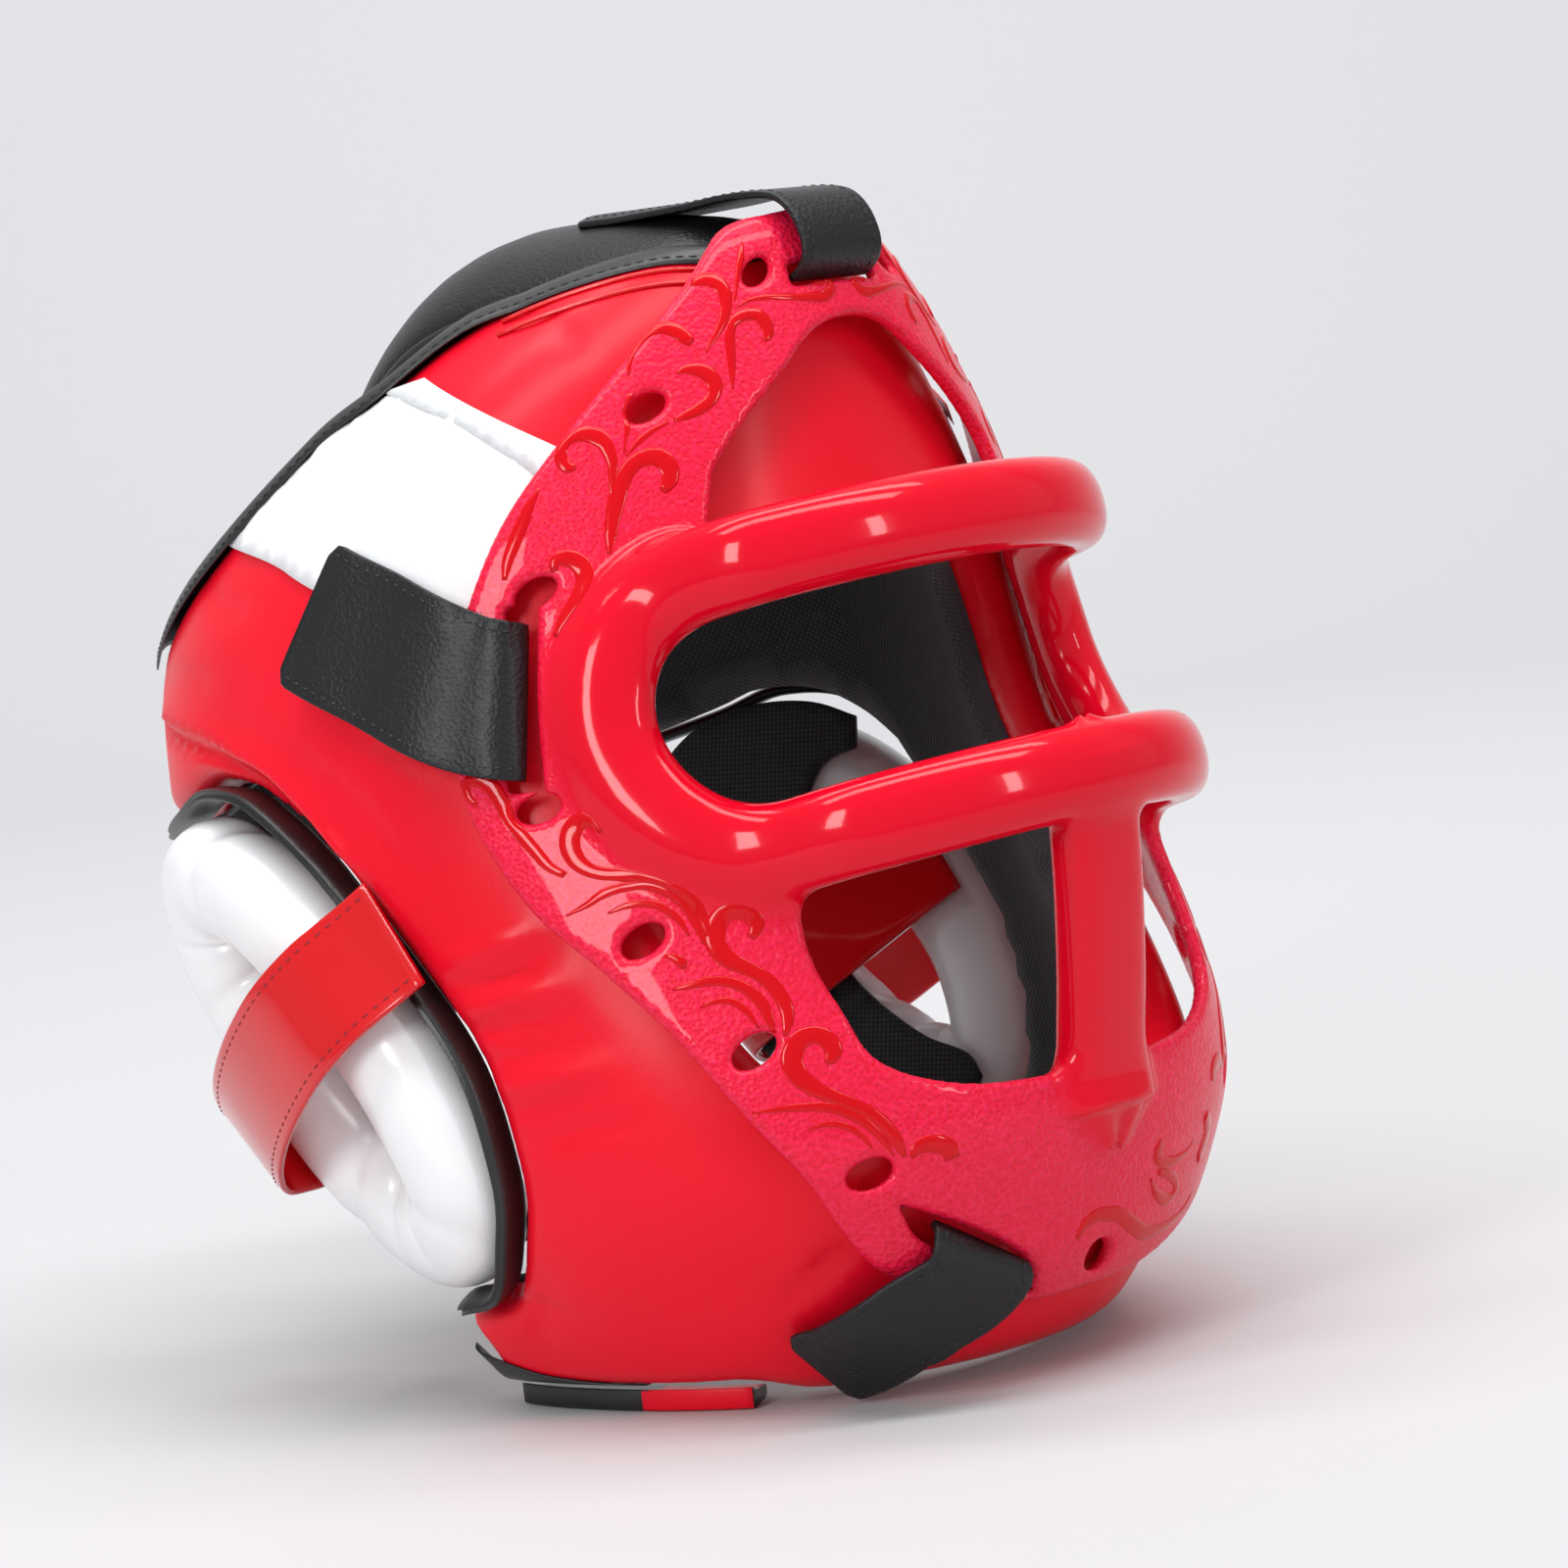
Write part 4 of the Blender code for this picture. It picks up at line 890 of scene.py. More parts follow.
def settle(verts, quads, f, grads, origin, size, rounds=3):
    # evens the net out and puts its points back on the zero level
    n = len(verts)
    a = np.concatenate([quads[:, 0], quads[:, 1], quads[:, 2], quads[:, 3]])
    b = np.concatenate([quads[:, 1], quads[:, 2], quads[:, 3], quads[:, 0]])
    for _ in range(rounds):
        total, count = np.zeros((n, 3)), np.zeros(n)
        np.add.at(total, a, verts[b])
        np.add.at(total, b, verts[a])
        np.add.at(count, a, 1)
        np.add.at(count, b, 1)
        verts = ontoSurface(verts * 0.4 + total / count[:, None] * 0.6, f, grads, origin, size)[0]
    return verts


visorRings = [closedLoop(visorWindow, True, 2.0)]
for p, h, t in visorHoles:
    visorRings += [holeRing(p, h, t), holeRing(-p, h, 180 - t)]
visorRings.append(holeRing(0, -.320, 0))
ring = closedLoop(templeSlot, False, 2.0)
visorRings += [ring, (ring * [-1, 1])[::-1], closedLoop(topSlot, True, 2.0)]
visorOuter = closedLoop(visorEdge, True, 2.0)

# the grid covers the wearer's right half: 101 mm to the side, 136 from front to back, 256 up
cell = visor["cell"]
nx, ny, nz = [int(span / cell) for span in (101, 136, 256)]
gridX = -np.arange(nx, -1, -1) * cell
gridY, gridZ = -152 + np.arange(ny) * cell, -99 + np.arange(nz) * cell
gx, gy, gz = np.meshgrid(gridX, gridY, gridZ, indexing="ij")
w, f, r, n = [read(c, gridZ)[None, None] for c in visorSurface.cols]
u, v = -gx / w, np.where(gy < 0, -gy / f, -gy / r)
n = np.where(gy < 0, n, rearPower)
rho = (np.abs(u)**n + np.abs(v)**n)**(1 / n)
angle = np.degrees(np.arctan2(u, v))
gr = np.gradient(rho, cell)
size = np.sqrt(gr[0]**2 + gr[1]**2 + gr[2]**2)
deep = (rho - 1) / np.maximum(size, 1e-6)
band = (np.abs(deep) < 11) & (angle < 76)
points = np.stack([angle[band] * flat, gz[band]], 1)
ga = [g[band] for g in np.gradient(angle, cell)]
normals = [g[band] / size[band] for g in gr]


def plateDistance(rings):
    # distance from the half plate that these outlines cut
    cut = Field(visorOuter, rings, 0.55)
    edge = cut.sample(points)
    ex, ez = cut.sample(points, cut.grads[0]), cut.sample(points, cut.grads[1])
    gradient = [ex * flat * ga[i] + ez * (i == 2) for i in range(3)]
    along = sum(gradient[i] * normals[i] for i in range(3))
    metric = np.sqrt(sum((gradient[i] - along * normals[i])**2 for i in range(3)))
    edge = edge / np.clip(metric, 0.35, 2.0)
    roundOff = visor["edgeRound"]
    slab = np.abs(deep[band] + visorThick / 2) - visorThick / 2
    qa, qb = np.maximum(slab + roundOff, 0), np.maximum(edge + roundOff, 0)
    distance = np.full(rho.shape, visor["far"])
    distance[band] = np.minimum(np.maximum(slab, edge) + roundOff, 0) + np.sqrt(qa * qa + qb * qb) - roundOff
    return distance


# the chin strap and its slot are on the wearer's right only
rightPlate = plateDistance(visorRings + [closedLoop(chinSlot, False, 2.0)])
leftPlate = plateDistance(visorRings)

line = ringLine()
near = (gy < -52) & (gz > -12) & (gz < 101)
points = np.stack([gx[near], gy[near], gz[near]], 1)
bars = np.full(rho.shape, visor["far"])
bars[near] = tubeDistance(points, line, visor["barTall"] / 2, visor["barDeep"] / 2, visor["barPower"])

low = visorSurface.off(0, -.178 * headHeight, -1.6)
top = barPoint(np.array([0.0]), np.array([visor["eyeMid"] - visor["ringHalf"]]))[0] + [0, 1, 0]
noseLine = curveThrough([top + [0, 0, 2], top * 0.66 + low * 0.34 + [0, -1, 0],
                         top * 0.33 + low * 0.67 + [0, -1, 0], low, low + [0, .6, -6]], 1.5)
noseAlong = unit(np.gradient(noseLine, axis=0))
noseSide = np.repeat([[1.0, 0, 0]], len(noseLine), 0)
noseOut = unit(np.cross(noseAlong, noseSide))
noseOut *= -np.sign(noseOut[:, 1:2])
near = (gx > -32) & (gy < -88) & (gz > -72) & (gz < 32)
points = np.stack([gx[near], gy[near], gz[near]], 1)
nose = np.full(rho.shape, visor["far"])
nose[near] = tubeDistance(points, (noseLine, noseAlong, noseSide, noseOut), visor["noseWide"] / 2,
                          visor["noseDeep"] / 2, visor["nosePower"])

bars = merge(bars, nose, visor["noseBlend"])
smoothPart = np.concatenate([bars, bars[-2::-1]], 0)
halves = [merge(plate, bars, visor["blend"]) for plate in (rightPlate, leftPlate)]
field = np.concatenate([halves[0], halves[1][-2::-1]], 0)
origin = np.array([gridX[0], gridY[0], gridZ[0]])
verts, quads = surfaceNet(field, origin, cell)
slopesOf = np.gradient(field, cell)
verts = settle(verts, quads, field, slopesOf, origin, cell)
visorPiece = piece("visorMoulding", verts, quads.tolist(), visorMaterial)
cells = np.clip(((verts - origin) / cell).round().astype(int), 0, np.array(field.shape) - 1)
# the bars are smooth, and the grain, with its painted pink sheen, grows with the distance from them
grain = np.clip((smoothPart[tuple(cells.T)] - visor["smoothNear"]) / visor["grainOver"], 0, 1)
visorPiece.data.attributes.new("grain", "FLOAT", "POINT").data.foreach_set("value", grain.astype(np.float32))
stands(visorPiece, "visor")

# raised scrolls of the moulding, along their middles: degrees round, share of height, half width mm
pairedScrolls = [
    [(28.1, 0.5158, 1.2), (26.8, 0.5157, 1.5), (25, 0.5135, 1.6), (23.2, 0.5064, 1.8), (22.3, 0.4948, 1.8),
     (22.5, 0.4838, 1.5), (23.4, 0.4728, 1.2), (24.8, 0.4624, 0.7), (25.9, 0.4542, 0.23)],
    [(19, 0.5383, 0.47), (19.4, 0.5261, 1.2), (20.1, 0.512, 0.82), (20.6, 0.4986, 0.42), (20.9, 0.49, 0.16)],
    [(20.8, 0.485, 0.23), (18.3, 0.4888, 0.51), (15, 0.488, 0.7), (11.1, 0.4846, 0.82), (7.4, 0.4819, 1.1),
     (4.5, 0.4817, 1.5), (2.7, 0.4892, 1.4), (3, 0.4969, 1.1), (5.2, 0.4989, 0.7), (6.8, 0.494, 0.47)],
    [(36.9, 0.452, 0.23), (36.8, 0.4645, 0.82), (36, 0.4768, 1.3), (34.6, 0.4832, 1.5), (32.4, 0.484, 1.5),
     (30.1, 0.4776, 1.6), (28.5, 0.469, 1.5), (27.8, 0.4656, 0.94)],
    [(30.3, 0.4435, 0.35), (29.2, 0.4451, 0.94), (27.5, 0.4428, 1.5), (25.8, 0.4364, 1.8), (25, 0.4264, 1.8),
     (25.6, 0.4168, 1.6), (27.5, 0.4107, 1.4), (29.5, 0.408, 1.1), (31.1, 0.4064, 0.47)],
    [(22.6, 0.42, 0.23), (22.4, 0.4335, 0.82), (22.2, 0.4494, 1.2), (22.1, 0.463, 1.4), (21.4, 0.4736, 1.4),
     (19.8, 0.4774, 1.4), (17.5, 0.4758, 1.5), (16.3, 0.468, 1.8), (16.1, 0.458, 1.5), (16.9, 0.4539, 0.7)],
    [(44.3, 0.391, 0.7), (45.3, 0.3913, 1.2), (46.2, 0.3998, 1.4), (46, 0.4105, 1.6), (44.5, 0.4158, 1.6),
     (42.6, 0.414, 1.8), (40.8, 0.4063, 1.8), (40, 0.3962, 1.5), (39.6, 0.3845, 1.2), (39.8, 0.3707, 0.94),
     (40, 0.3567, 0.7)],
    [(33.7, 0.3534, 0.94), (32.7, 0.3589, 1.9), (32.4, 0.3696, 2.1), (33.6, 0.3803, 2.1), (35.8, 0.3829, 2),
     (37.7, 0.3766, 2), (38.9, 0.3652, 2), (39.8, 0.3525, 2), (40.6, 0.3378, 1.6), (41.2, 0.3253, 1.2),
     (41.6, 0.3149, 0.47)],
    [(36.7, 0.4373, 0.7), (37.1, 0.4231, 0.84), (37.4, 0.4077, 0.7), (38, 0.3913, 0.19)],
    [(31.9, 0.4061, 0.35), (34.2, 0.4025, 0.7), (36.2, 0.3963, 0.7), (37.8, 0.3878, 0.19)],
    [(49.2, 0.3826, 0.35), (50.5, 0.3715, 1.1), (51.8, 0.3575, 1.6), (53.1, 0.344, 1.6), (54.2, 0.3317, 1.3),
     (54.9, 0.3187, 0.59)],
    [(48.6, 0.314, 0.7), (48.4, 0.3216, 1.4), (46.9, 0.322, 1.9), (45.4, 0.3137, 2), (45, 0.3018, 2.1),
     (45.8, 0.2905, 2.1), (47, 0.2817, 1.9), (48.5, 0.2733, 1.5), (49.8, 0.2629, 0.7)],
    [(64.5, 0.1525, 0.59), (65.3, 0.1615, 1.2), (65, 0.1707, 1.4), (63.7, 0.1721, 1.6), (62.3, 0.1652, 1.9),
     (61.6, 0.154, 1.9), (61.3, 0.1378, 1.6), (60.7, 0.1217, 1.5), (59.8, 0.105, 1.4), (58.9, 0.0898, 1.2),
     (57.5, 0.0794, 0.82)],
    [(51.2, 0.1048, 0.82), (51.7, 0.1125, 1.4), (53.2, 0.1172, 1.9), (54.9, 0.1116, 2.1),
     (55.8, 0.0984, 2.1), (55.5, 0.0853, 1.9), (54.1, 0.0749, 1.6), (51.6, 0.0674, 1.5), (49, 0.0594, 1.4),
     (46.7, 0.0497, 1.5), (45.3, 0.0361, 1.5), (44.8, 0.0204, 1.4), (44.6, 0.0047, 1.2),
     (44.5, -0.0099, 0.47)],
    [(40.4, -0.0077, 0.82), (39.4, 0.0008, 1.6), (40, 0.0124, 1.9), (41.4, 0.0168, 2), (42.9, 0.0143, 2.1),
     (44.1, 0.0037, 2.1), (44.2, -0.0105, 2), (43.1, -0.0222, 1.8), (41.5, -0.0318, 1.5),
     (40.2, -0.0423, 1.5), (39.4, -0.0552, 1.5), (39.1, -0.0686, 1.4), (39.5, -0.0797, 1.1),
     (40.1, -0.0879, 0.47)],
    [(59.1, 0.0483, 0.23), (56.5, 0.0519, 0.7), (53.9, 0.0572, 1.1), (51.4, 0.057, 1.1), (49.1, 0.0531, 1.1),
     (47.2, 0.0433, 1.2), (46.1, 0.0296, 1.1), (45.7, 0.0133, 0.82), (45.5, -0.0023, 0.35)],
    [(54.5, 0.0412, 0.28), (52.2, 0.0429, 0.8), (49.8, 0.0397, 0.89), (48.2, 0.0306, 0.89),
     (47.2, 0.0181, 0.66), (46.9, 0.0069, 0.23)],
    [(50.1, -0.0027, 0.35), (49.1, -0.0062, 0.94), (48.5, -0.0123, 1.1), (48.3, -0.0166, 0.47)],
    [(50.3, -0.03, 0.23), (48.4, -0.0308, 0.82), (46.1, -0.0315, 1.1), (44.1, -0.0363, 1.2),
     (42.5, -0.0458, 1.2), (41.5, -0.0589, 1.2), (41.2, -0.0722, 0.94), (41.3, -0.084, 0.35)],
    [(47.9, -0.0492, 0.23), (46.2, -0.0479, 0.66), (44.5, -0.0514, 0.8), (43.3, -0.0617, 0.7),
     (42.6, -0.0766, 0.23)],
    [(36.6, -0.1171, 0.82), (35.6, -0.1096, 1.8), (36, -0.0985, 1.9), (37.4, -0.0926, 2),
     (39.1, -0.0956, 2.1), (40.2, -0.1061, 2.1), (40.1, -0.1197, 2), (38.9, -0.1323, 1.8),
     (37.2, -0.1429, 1.5), (35.4, -0.1527, 1.5), (33.6, -0.164, 1.5), (32.4, -0.1773, 1.5),
     (31.7, -0.1897, 1.3), (31.3, -0.2021, 0.47)],
    [(45.9, -0.1388, 0.23), (43.1, -0.1413, 0.7), (40.5, -0.1449, 0.94), (38, -0.1499, 1.1),
     (35.9, -0.1596, 1.1), (34.2, -0.1724, 1), (33.1, -0.187, 0.7), (32.5, -0.1998, 0.23)],
    [(40.7, -0.1626, 0.23), (38.5, -0.1623, 0.66), (36.6, -0.1685, 0.7), (35.3, -0.1788, 0.59),
     (34.6, -0.1897, 0.19)],
    [(30.6, -0.2042, 0.47), (29.4, -0.1986, 1.5), (27.7, -0.1985, 2), (26, -0.2045, 2.1),
     (25.7, -0.2136, 1.6)],
]
chinScrolls = [
    [(6.5, -0.3032, 0.94), (5, -0.2931, 1.4), (1.8, -0.2901, 1.6), (-2.4, -0.2953, 1.8),
     (-6.5, -0.3067, 1.8), (-11.4, -0.3166, 1.6), (-17, -0.3168, 1.2), (-23.4, -0.3112, 0.94),
     (-26.8, -0.2989, 0.59)],
    [(-11, -0.2714, 0.7), (-14.8, -0.2777, 1.2), (-17.8, -0.2888, 1.4), (-15.8, -0.296, 1.4),
     (-11.5, -0.288, 1.2), (-9.1, -0.2748, 0.47)],
    [(-24, -0.2389, 1.4), (-26.3, -0.2506, 2.6), (-26, -0.2622, 2.8), (-24.5, -0.2715, 1.6)],
    [(-10.9, -0.2492, 1.4), (-9.8, -0.257, 1.5), (-13.4, -0.2662, 1.4), (-18.7, -0.2632, 0.7),
     (-20.8, -0.256, 0.35)],
]


scroll = {"across": 8, "sunk": 0.4, "border": -0.12, "rise": 0.48, "fullWidth": 1.2}


def scrollRibbon(rows, sign):
    # a low rounded ribbon on the moulding's face, sunk a little at its borders
    line = curveThrough([(sign * a * flat, h * headHeight, w) for a, h, w in rows], 1.0)
    beside = unit(np.gradient(line[:, :2], axis=0))[:, ::-1] * [-1, 1]
    n = scroll["across"]
    share = np.sin(np.linspace(-math.pi / 2, math.pi / 2, n))
    at = (line[:, None, :2] + beside[:, None] * (share[None, :, None] * line[:, None, 2:])).reshape(-1, 2)
    start = visorSurface.off(at[:, 0] / flat, at[:, 1], np.zeros(len(at)))
    spots, out = ontoSurface(start, field, slopesOf, origin, cell)
    high = np.tile(scroll["border"] + scroll["rise"] * np.sqrt(1 - share**2), len(line))
    high = high * np.repeat(np.clip(line[:, 2] / scroll["fullWidth"], 0.45, 1), n)
    upper = (spots + out * high[:, None]).reshape(len(line), n, 3)
    lower = (spots - out * scroll["sunk"]).reshape(len(line), n, 3)[:, ::-1]
    return np.concatenate([upper, lower], 1).reshape(-1, 3), tubeFaces(len(line), 2 * n)


ribbons = [scrollRibbon(rows, sign) for rows in pairedScrolls for sign in (1, -1)]
ribbons += [scrollRibbon(rows, 1) for rows in chinScrolls]
rides(piece("visorScrolls", *joined(ribbons), scrollMaterial))
print("visor done", len(quads) * 2)

# padded ear ring with its piping, cloth and strap
ear = {"long": 66.5, "wide": 38.0, "tube": 14.5, "depth": 12.0, "mid": (-85.4, 28.8, 1.0), "lean": 34.0, "turn": 20.0,
       "strapWide": 28.0, "strapThick": 1.8, "trim": 3.4, "trimHalf": 4.5, "seamIn": 2.6, "shownRows": 58}
lean, turn = math.radians(ear["lean"]), math.radians(ear["turn"])
earLong = np.array([0.0, math.sin(lean), math.cos(lean)])
earWide = np.array([-math.sin(turn), -math.cos(lean) * math.cos(turn), math.sin(lean) * math.cos(turn)])
earOut = unit(np.cross(earLong, earWide))
earOut = earOut * (1 if earOut[0] < 0 else -1)
earMid = np.array(ear["mid"])


def earPoint(long, wide, out):
    return earMid + earLong * long + earWide * wide + earOut * out


# folds of the ring's cover: degrees round, depth mm, half width degrees, outer (1), inner (-1) or both sides (0)
earFolds = [
    (36, 0.9, 4.5, 1), (52, 0.4, 5, -1), (318, 0.6, 4, -1), (345, 0.4, 4, -1), (222, 0.9, 4, -1), (246, 0.6, 5, 0),
    (200, 0.4, 4, -1), (172, 0.45, 5, 1), (98, 0.5, 4, -1), (128, 0.35, 5, 1), (285, 0.4, 5, 1)]


def earRing():
    n, m = 260, 40
    centres, frames, sections = [], [], []
    base = oval(1.0, 1.0, m, 2.2)
    around = np.arctan2(base[:, 1], base[:, 0])
    for i in range(n):
        t = 2 * math.pi * i / n
        a, b = (ear["long"] - ear["tube"]) * math.cos(t), (ear["wide"] - ear["tube"]) * math.sin(t)
        side = unit(earLong * math.cos(t) * ear["wide"] / ear["long"] + earWide * math.sin(t))
        centres.append(earPoint(a, b, 0))
        frames.append((side, earOut))
        crease = 0.016 * np.sin(7 * t + 1.1 * np.sin(around)) * np.cos(around)
        for turnAt, deep, wide, where in earFolds:
            gap = (math.degrees(t) - turnAt + 6 * np.sin(around) + 180) % 360 - 180
            reach = np.clip(0.5 + 0.7 * where * np.cos(around), 0, 1) if where else 1.0
            crease = crease - 1.7 * deep / ear["tube"] * np.exp(-(gap / wide)**2) * reach
        sections.append(base * (0.99 + crease)[:, None] * [ear["tube"], ear["depth"]])
    return sweep(centres, frames, sections, True)


def earTrim():
    bite = curveThrough(np.array(shellEdge[15:26]) * [flat, headHeight], 3.0)
    phi, z = bite[:, 0] / flat, bite[:, 1]
    pos, nrm = pad.at(phi, z), pad.normal(phi, z)
    side = unit(np.cross(unit(np.gradient(pos, axis=0)), nrm))
    side = side * np.sign(((earMid - pos) * side).sum(1, keepdims=True))
    centres = pos + side * (ear["trim"] / 2 + fitGap) - nrm * 2.0
    section = oval(ear["trim"] / 2, ear["trimHalf"], 32, 2.6)
    # a groove runs along its middle
    section[:, 1] -= (section[:, 1] > 0) * 1.6 * np.exp(-(section[:, 0] / 0.45)**2)
    return sweep(centres, list(zip(side, nrm)), section)


# the strap's way over the ring and back behind it: share of the half width, height over the ring's middle
earStrapSteps = [
    (1.38, -3.4), (1.27, 0.8), (1.15, 6.4), (1.0, 12.5), (0.7, 19.0), (0.3, 22.5), (-0.1, 23.5), (-0.5, 22.0),
    (-0.84, 17.5), (-0.985, 10.0), (-1.05, 3.0), (-1.09, -4.0), (-1.09, -11.0), (-1.0, -16.2), (-0.7, -17.0),
    (-0.2, -16.8), (0.3, -16.0), (0.7, -15.2), (0.84, -14.6)]


def earStrap():
    pts = curveThrough([earPoint(-1.1 - 6.8 * w, w * ear["wide"], h) for w, h in earStrapSteps], 2.0)
    along = unit(np.gradient(pts, axis=0))
    side = unit(earLong - along * (along @ earLong)[:, None])
    out = np.cross(side, along)
    shown = slice(0, ear["shownRows"])
    stitch("earStrap", pts[shown], side[shown], out[shown], ear["strapWide"] / 2 - ear["seamIn"],
           ear["strapThick"] / 2 - 0.05)
    return sweep(pts, list(zip(side, out)), oval(ear["strapWide"] / 2, ear["strapThick"] / 2, 24, 8.0))


# outline of the cloth behind the ring, with the ear's opening: shares of the half width and half length
backingEdge = [
    (.86, .41), (1.0, .50), (.84, .68), (.53, .86), (.16, .98), (-.21, 1.0), (-.58, .92), (-.87, .68),
    (-.98, .30), (-1.0, -.15), (-.87, -.53), (-.58, -.78), (-.2, -.90), (.02, -.86), (.05, -.76),
    (-.1, -.57), (-.2, -.23), (-.12, .08), (0, .20), (.18, .33), (.38, .43), (.62, .47)]


def earBacking(name, mirrored):
    ring = closedLoop([(w * ear["wide"] / flat, a * ear["long"] / headHeight) for w, a in backingEdge], False, 2.5)
    spots, tris, edge = flatMesh(ring, [], 3.0)
    high = -ear["depth"] - fitGap
    top, bottom = (earPoint(spots[:, 1:], spots[:, :1], h) for h in (high, high - liningThick))
    cloth = piece(name, *wallOf(spots, tris, top, bottom), blackWeave, mirrored=mirrored)
    weaveMap(cloth, spots, edge, 0.0)
    return cloth


strapShape = earStrap()
for sideName, mirrored in sides:
    low = sideName.lower()
    ring = stands(piece("earRing" + sideName, *earRing(), whiteLeather, mirrored=mirrored), "ear_ring_" + low)
    stands(piece("earTrim" + sideName, *earTrim(), blackEdge, mirrored=mirrored), "ear_trim_" + low)
    stands(piece("earStrap" + sideName, *strapShape, glossRed, mirrored=mirrored), "ear_strap_" + low)
    stands(earBacking("earBacking" + sideName, mirrored), "ear_backing_" + low)
print("ears done")

def lay(surface, phi, h, d, edge):
    # a strap's point at a height over a surface, and the way its width runs there
    n = surface.normal(phi, h * headHeight)
    return surface.off(phi, h * headHeight, np.float64(d)), unit(edge - n * (edge @ n))


strapSeam, strapCorner, archFade = 2.4, 3.0, 34.0


def strapOf(rows, width, arch=0.0, step=1.5):
    # a flat strap through rows of a point and its width's way; arch bends its start to the cushion's crown
    line = curveThrough([np.concatenate([p, s]) for p, s in rows], step)
    pts, side = line[:, :3], line[:, 3:]
    along = unit(np.gradient(pts, axis=0))
    side = unit(side - along * (side * along).sum(1, keepdims=True))
    out = np.cross(along, side)
    start = np.linalg.norm(pts - pts[0], axis=1)
    bent = np.clip(1.4 - start / archFade, 0, 1)[:, None]
    seamPts = pts - out * (arch * (width / 2 - strapSeam)**2 * bent)
    stitch("strap", seamPts, side, out, width / 2 - strapSeam, strapThick / 2 - 0.05)
    sections = np.repeat(oval(width / 2, strapThick / 2, 28, 8.0)[None], len(pts), 0)
    sections[:, :, 1] -= arch * sections[:, :, 0]**2 * bent
    near = np.clip(1 - start / strapCorner, 0, 1)
    sections[:, :, 0] *= (1 - strapCorner / width * 2 * (1 - np.sqrt(1 - near**2)))[:, None]
    return sweep(pts, list(zip(side, out)), sections)


def spot(surface, phi, h):
    return surface.at(phi, h * headHeight)


def templeStrap():
    top = fitGap + strapThick / 2
    edge = unit(spot(visorSurface, 54.0, .282) - spot(visorSurface, 58.2, .163))
    onPatch = 0.9 + strapThick + top + 3 * fitGap
    rows = [lay(pad, p, h, onPatch, edge) for p, h in ((82.2, .341), (78.5, .324), (72.5, .297))]
    rows += [lay(visorSurface, *row, edge) for row in (
        (66.8, .264, top + 0.6), (62, .240, top + 0.6), (57.9, .226, top + 0.6),
        (56.0, .222, -0.6), (55.7, .221, -visorThick + 1.0))]
    return strapOf(rows, 34.0)


def chinStrap():
    top = fitGap + strapThick / 2
    edge = unit(spot(visorSurface, 31.8, -.253) - spot(visorSurface, 14.2, -.3215))
    rows = [lay(pad, 47.5, -.345, top + 0.4, edge), lay(pad, 42.5, -.338, top + 2.2, edge)]
    rows += [lay(visorSurface, *row, edge) for row in (
        (37, -.331, top + 1.0), (31, -.321, top + 0.7), (25.6, -.311, top + 0.6), (23.9, -.2985, top + 0.6),
        (23.1, -.289, -0.7), (23.0, -.288, -visorThick + 1.0))]
    return strapOf(rows, 27.0)


# the top strap's line: shares of the front reach and the height, from the slot to the crown
topLine = [
    (-.965, .5015), (-.989, .504), (-1.019, .512), (-1.031, .526), (-1.019, .550), (-.983, .568), (-.91, .5795),
    (-.81, .5885), (-.70, .5975), (-.58, .609), (-.46, .6205), (-.37, .6285)]
topRows = [(np.array([0.0, y * headFront, z * headHeight]), np.array([1.0, 0, 0])) for y, z in topLine[::-1]]
templeShape = templeStrap()
threads["strap"] = bothSides(threads["strap"])
for sideName, mirrored in sides:
    strap = piece("templeStrap" + sideName, *templeShape, blackLeather, mirrored=mirrored)
    stands(strap, "temple_strap_" + sideName.lower())
stands(piece("chinStrapRight", *chinStrap(), blackLeather), "chin_strap")
stands(piece("topStrap", *strapOf(topRows, 24.0, flap["arch"]), blackLeather), "top_strap")
sew("strapStitches", threads["strap"], (1.9, 0.6, 0.5), blackThread)
sew("earStrapStitches", bothSides(threads["earStrap"]), (1.9, 0.55, 0.45), redThread)
sew("rimStitches", threads["rim"], (1.9, 0.6, 0.5), blackThread)
print("sewing done")


jaw = {"from": 103.5, "to": 60.0, "rows": 40, "sides": 28, "power": 5.0, "setBack": 2.2, "shoulder": 2.6,
       "redFrom": 23, "redTo": 39}


def jawLip():
    up = np.array([0, -math.sin(tilt), math.cos(tilt)])
    high = (lipTall - fitGap) / 2
    centres, frames, sections = [], [], []
    for a in np.linspace(jaw["from"], jaw["to"], jaw["rows"]):
        z = tableHeight(a, floorDrop - lipTall)
        p, n = pad.at(a, z), pad.normal(a, z)
        out = unit(n - up * (n @ up))
        level = p @ up + floorDrop
        section = oval(lipWide / 2, high, jaw["sides"], jaw["power"])
        # its outer shoulder fills the hollow under the cover's rolled edge
        section[:, 1] += (section[:, 1] > 0) * jaw["shoulder"] * np.clip((section[:, 0] - 0.5) / 6, 0, 1)**1.5
        centres.append(p - out * (lipWide / 2 + jaw["setBack"]) - up * (level - high))
        frames.append((out, up))
        sections.append(section)
    return sweep(centres, frames, sections)


# black binding that wraps the shell's rolled lower edge at the rear corner, tall behind and thin forward
corner = {"from": 103.2, "to": 76.0, "rows": 46, "across": 9, "thin": 2.5, "taller": 9.5, "lift": 0.7, "skin": 0.6}


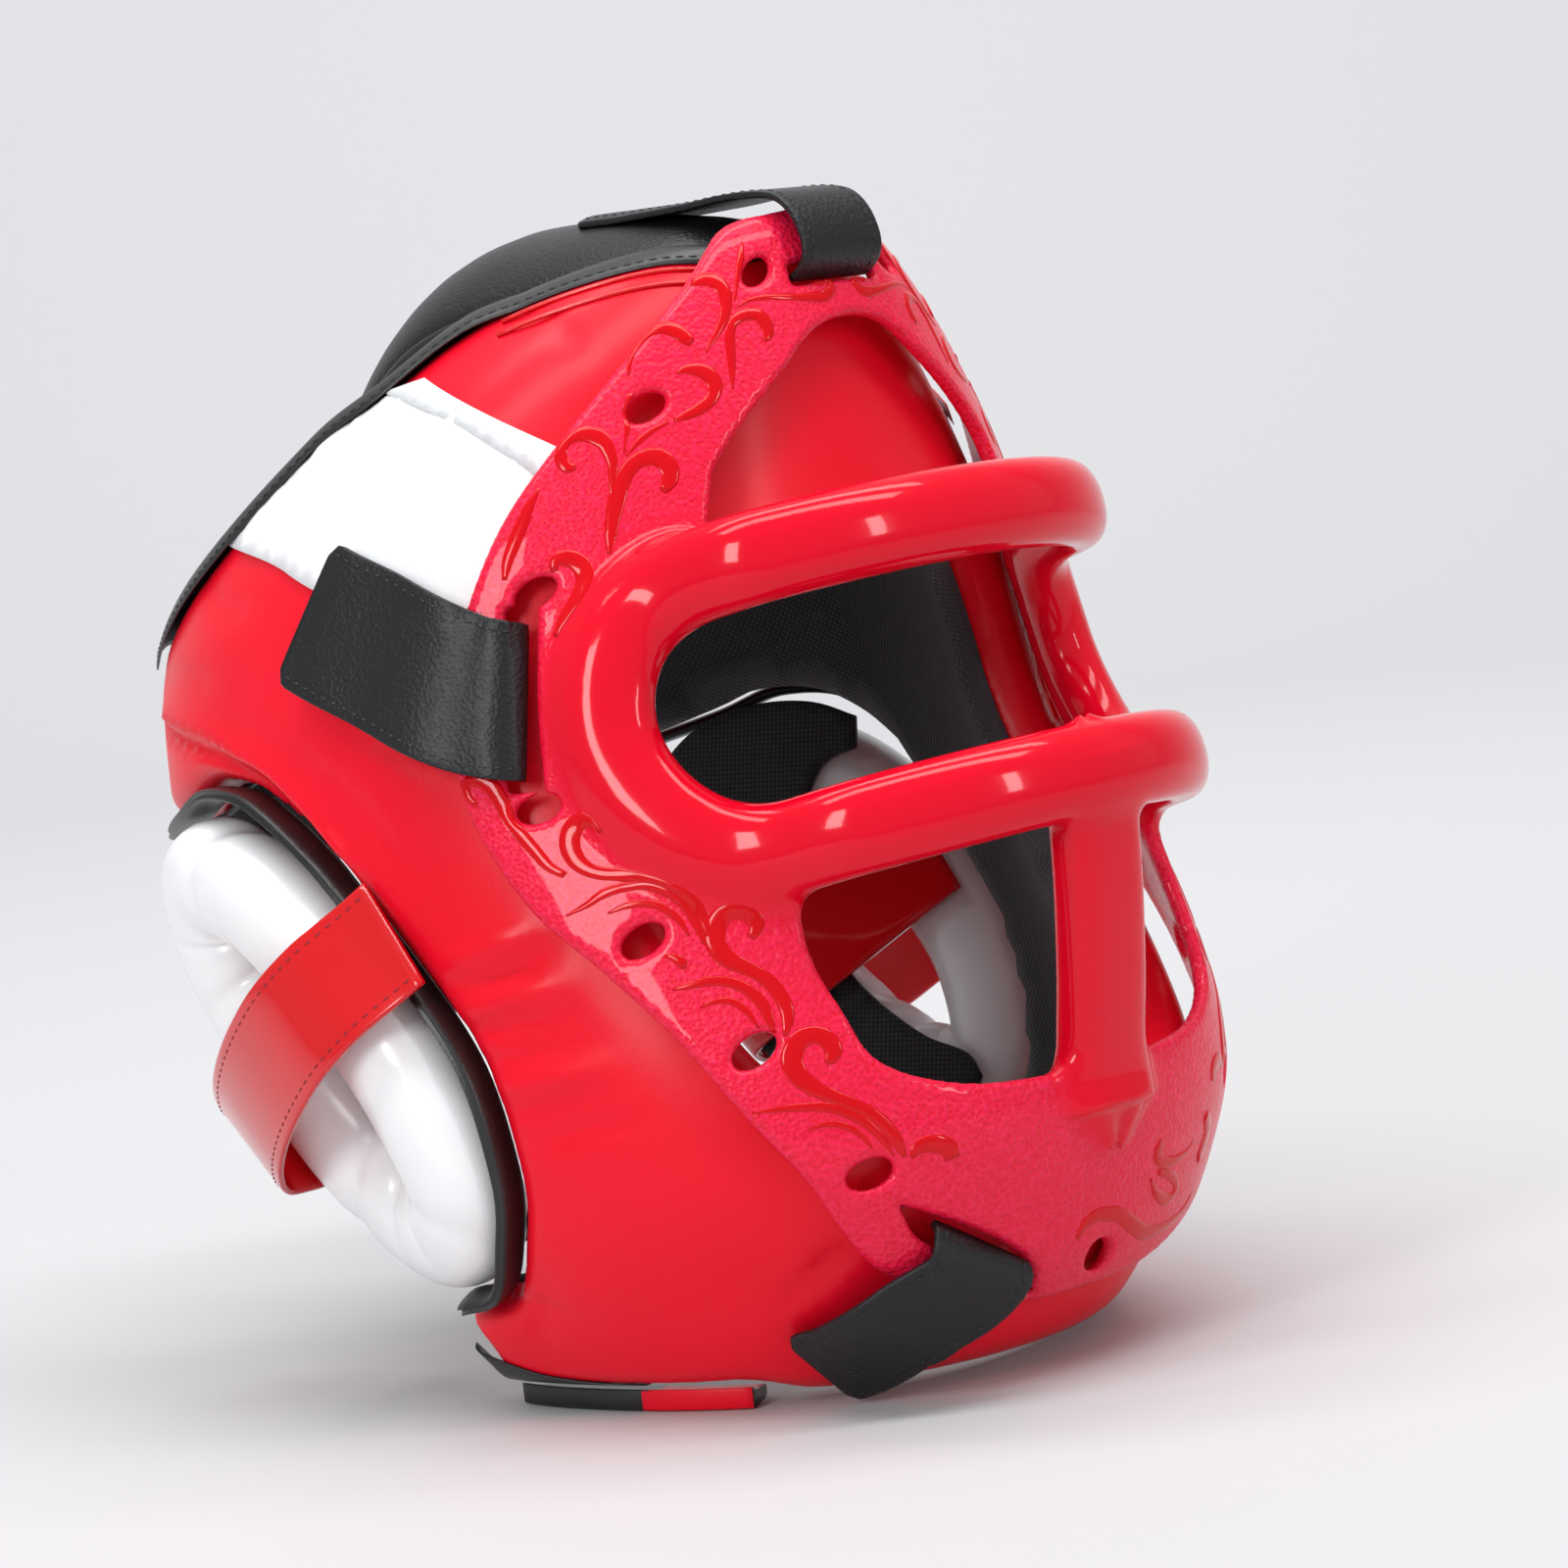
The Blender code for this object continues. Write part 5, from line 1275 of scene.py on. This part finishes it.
def cornerBinding():
    rows = []
    for a in np.linspace(corner["from"], corner["to"], corner["rows"]):
        tall = corner["thin"] + corner["taller"] * np.clip((a - 78) / 24, 0, 1)**1.3
        reach = np.linspace(0.2, tall, corner["across"])
        z = tableHeight(a, floorDrop - lipTall) + reach
        # the shell's rear end is rolled too
        near = np.minimum(reach, (104.5 - a) * flat)
        out = -rolled(near, shell["roll"], shell["halfRoll"]) + corner["lift"]
        turnAt = np.full(corner["across"], a)
        top, bottom = pad.off(turnAt, z, out), pad.off(turnAt, z, out - corner["skin"])
        rows.append(np.concatenate([top, bottom[::-1]]))
    return np.concatenate(rows), tubeFaces(corner["rows"], 2 * corner["across"])


for sideName, mirrored in sides:
    low = sideName.lower()
    lip = stands(piece("jawLip" + sideName, *jawLip(), blackEdge, mirrored=mirrored), "jaw_lip_" + low)
    lip.data.materials.append(redLeather)
    # the black stops at the corner, and forward of it the same edge is red
    for face in lip.data.polygons:
        face.material_index = int(jaw["sides"] * jaw["redFrom"] < face.index < jaw["sides"] * jaw["redTo"])
for sideName, mirrored in sides:
    band = piece("cornerBinding" + sideName, *cornerBinding(), blackEdge, mirrored=mirrored)
    rides(band)
print("lips done")

# a floor that curves up behind the object into a backdrop, both seen as one pale sheet
sweepRadius, sweepStart, sweepTop, sweepHalf = 1.2, 1.6, 4.0, 6.0
away, beside = np.array([0.6949, 0.7191]), np.array([0.7191, -0.6949])
turns = np.linspace(0, math.pi / 2, 24)
profile = ([(-6.0, 0.0), (0.0, 0.0)]
           + [(sweepStart + sweepRadius * math.sin(a), sweepRadius * (1 - math.cos(a))) for a in turns]
           + [(sweepStart + sweepRadius, sweepTop)])
floorMesh = bpy.data.meshes.new("floor")
floorVerts = [(*(away * run + beside * sweepHalf * sign), rise) for run, rise in profile for sign in (-1, 1)]
floorMesh.from_pydata(floorVerts, [], [(2 * i, 2 * i + 1, 2 * i + 3, 2 * i + 2) for i in range(len(profile) - 1)])
floorMesh.polygons.foreach_set("use_smooth", [True] * len(floorMesh.polygons))
floor = bpy.data.objects.new("floor", floorMesh)
bpy.context.scene.collection.objects.link(floor)
floorMesh.materials.append(surfaceOf("pale matt paper", "#C9C9CB", 0.9, specular=0.0)[0])

world = bpy.data.worlds.new("studio")
bpy.context.scene.world = world
world.use_nodes = True
world.node_tree.nodes["Background"].inputs["Color"].default_value = linear("#F2F3F5")
world.node_tree.nodes["Background"].inputs["Strength"].default_value = 0.5


def softLight(name, place, aim, width, height, power):
    light = bpy.data.lights.new(name, "AREA")
    light.shape, light.size, light.size_y, light.energy = "RECTANGLE", width, height, power
    obj = bpy.data.objects.new(name, light)
    obj.location = place
    obj.rotation_euler = (Vector(aim) - Vector(place)).to_track_quat("-Z", "Y").to_euler()
    bpy.context.scene.collection.objects.link(obj)


softLight("overhead strip", (-0.25, -0.3, 1.2), (0, 0, 0.2), 1.7, 0.22, 10.0)
softLight("overhead box", (0.3, 0.3, 1.6), (0, 0, 0.15), 1.2, 1.0, 1.2)
softLight("left window", (-1.35, -0.3, 0.62), (0, 0, 0.13), 0.3, 0.55, 7.0)
softLight("front window", (0.1, -1.5, 0.6), (0, 0, 0.13), 0.14, 0.5, 3.0)
softLight("backdrop wash", (0.3, 0.3, 2.6), (2.0, 2.05, 1.0), 3.0, 1.2, 80)

# plain colours, as a camera on neutral settings gives them
bpy.context.scene.view_settings.view_transform = "Standard"

cameraData = bpy.data.cameras.new("camera")
cameraData.lens, cameraData.sensor_width, cameraData.clip_start, cameraData.clip_end = 106.425, 36.0, 0.05, 60.0
camera = bpy.data.objects.new("camera", cameraData)
cameraAxes = Matrix(((0.70711, 0.14702, -0.69165), (-0.69840, -0.00781, -0.71566), (-0.11062, 0.98910, 0.09715)))
camera.matrix_world = Matrix.Translation((-0.727930, -0.786660, 0.231871)) @ cameraAxes.to_4x4()
bpy.context.scene.collection.objects.link(camera)
bpy.context.scene.camera = camera

bpy.context.view_layer.update()
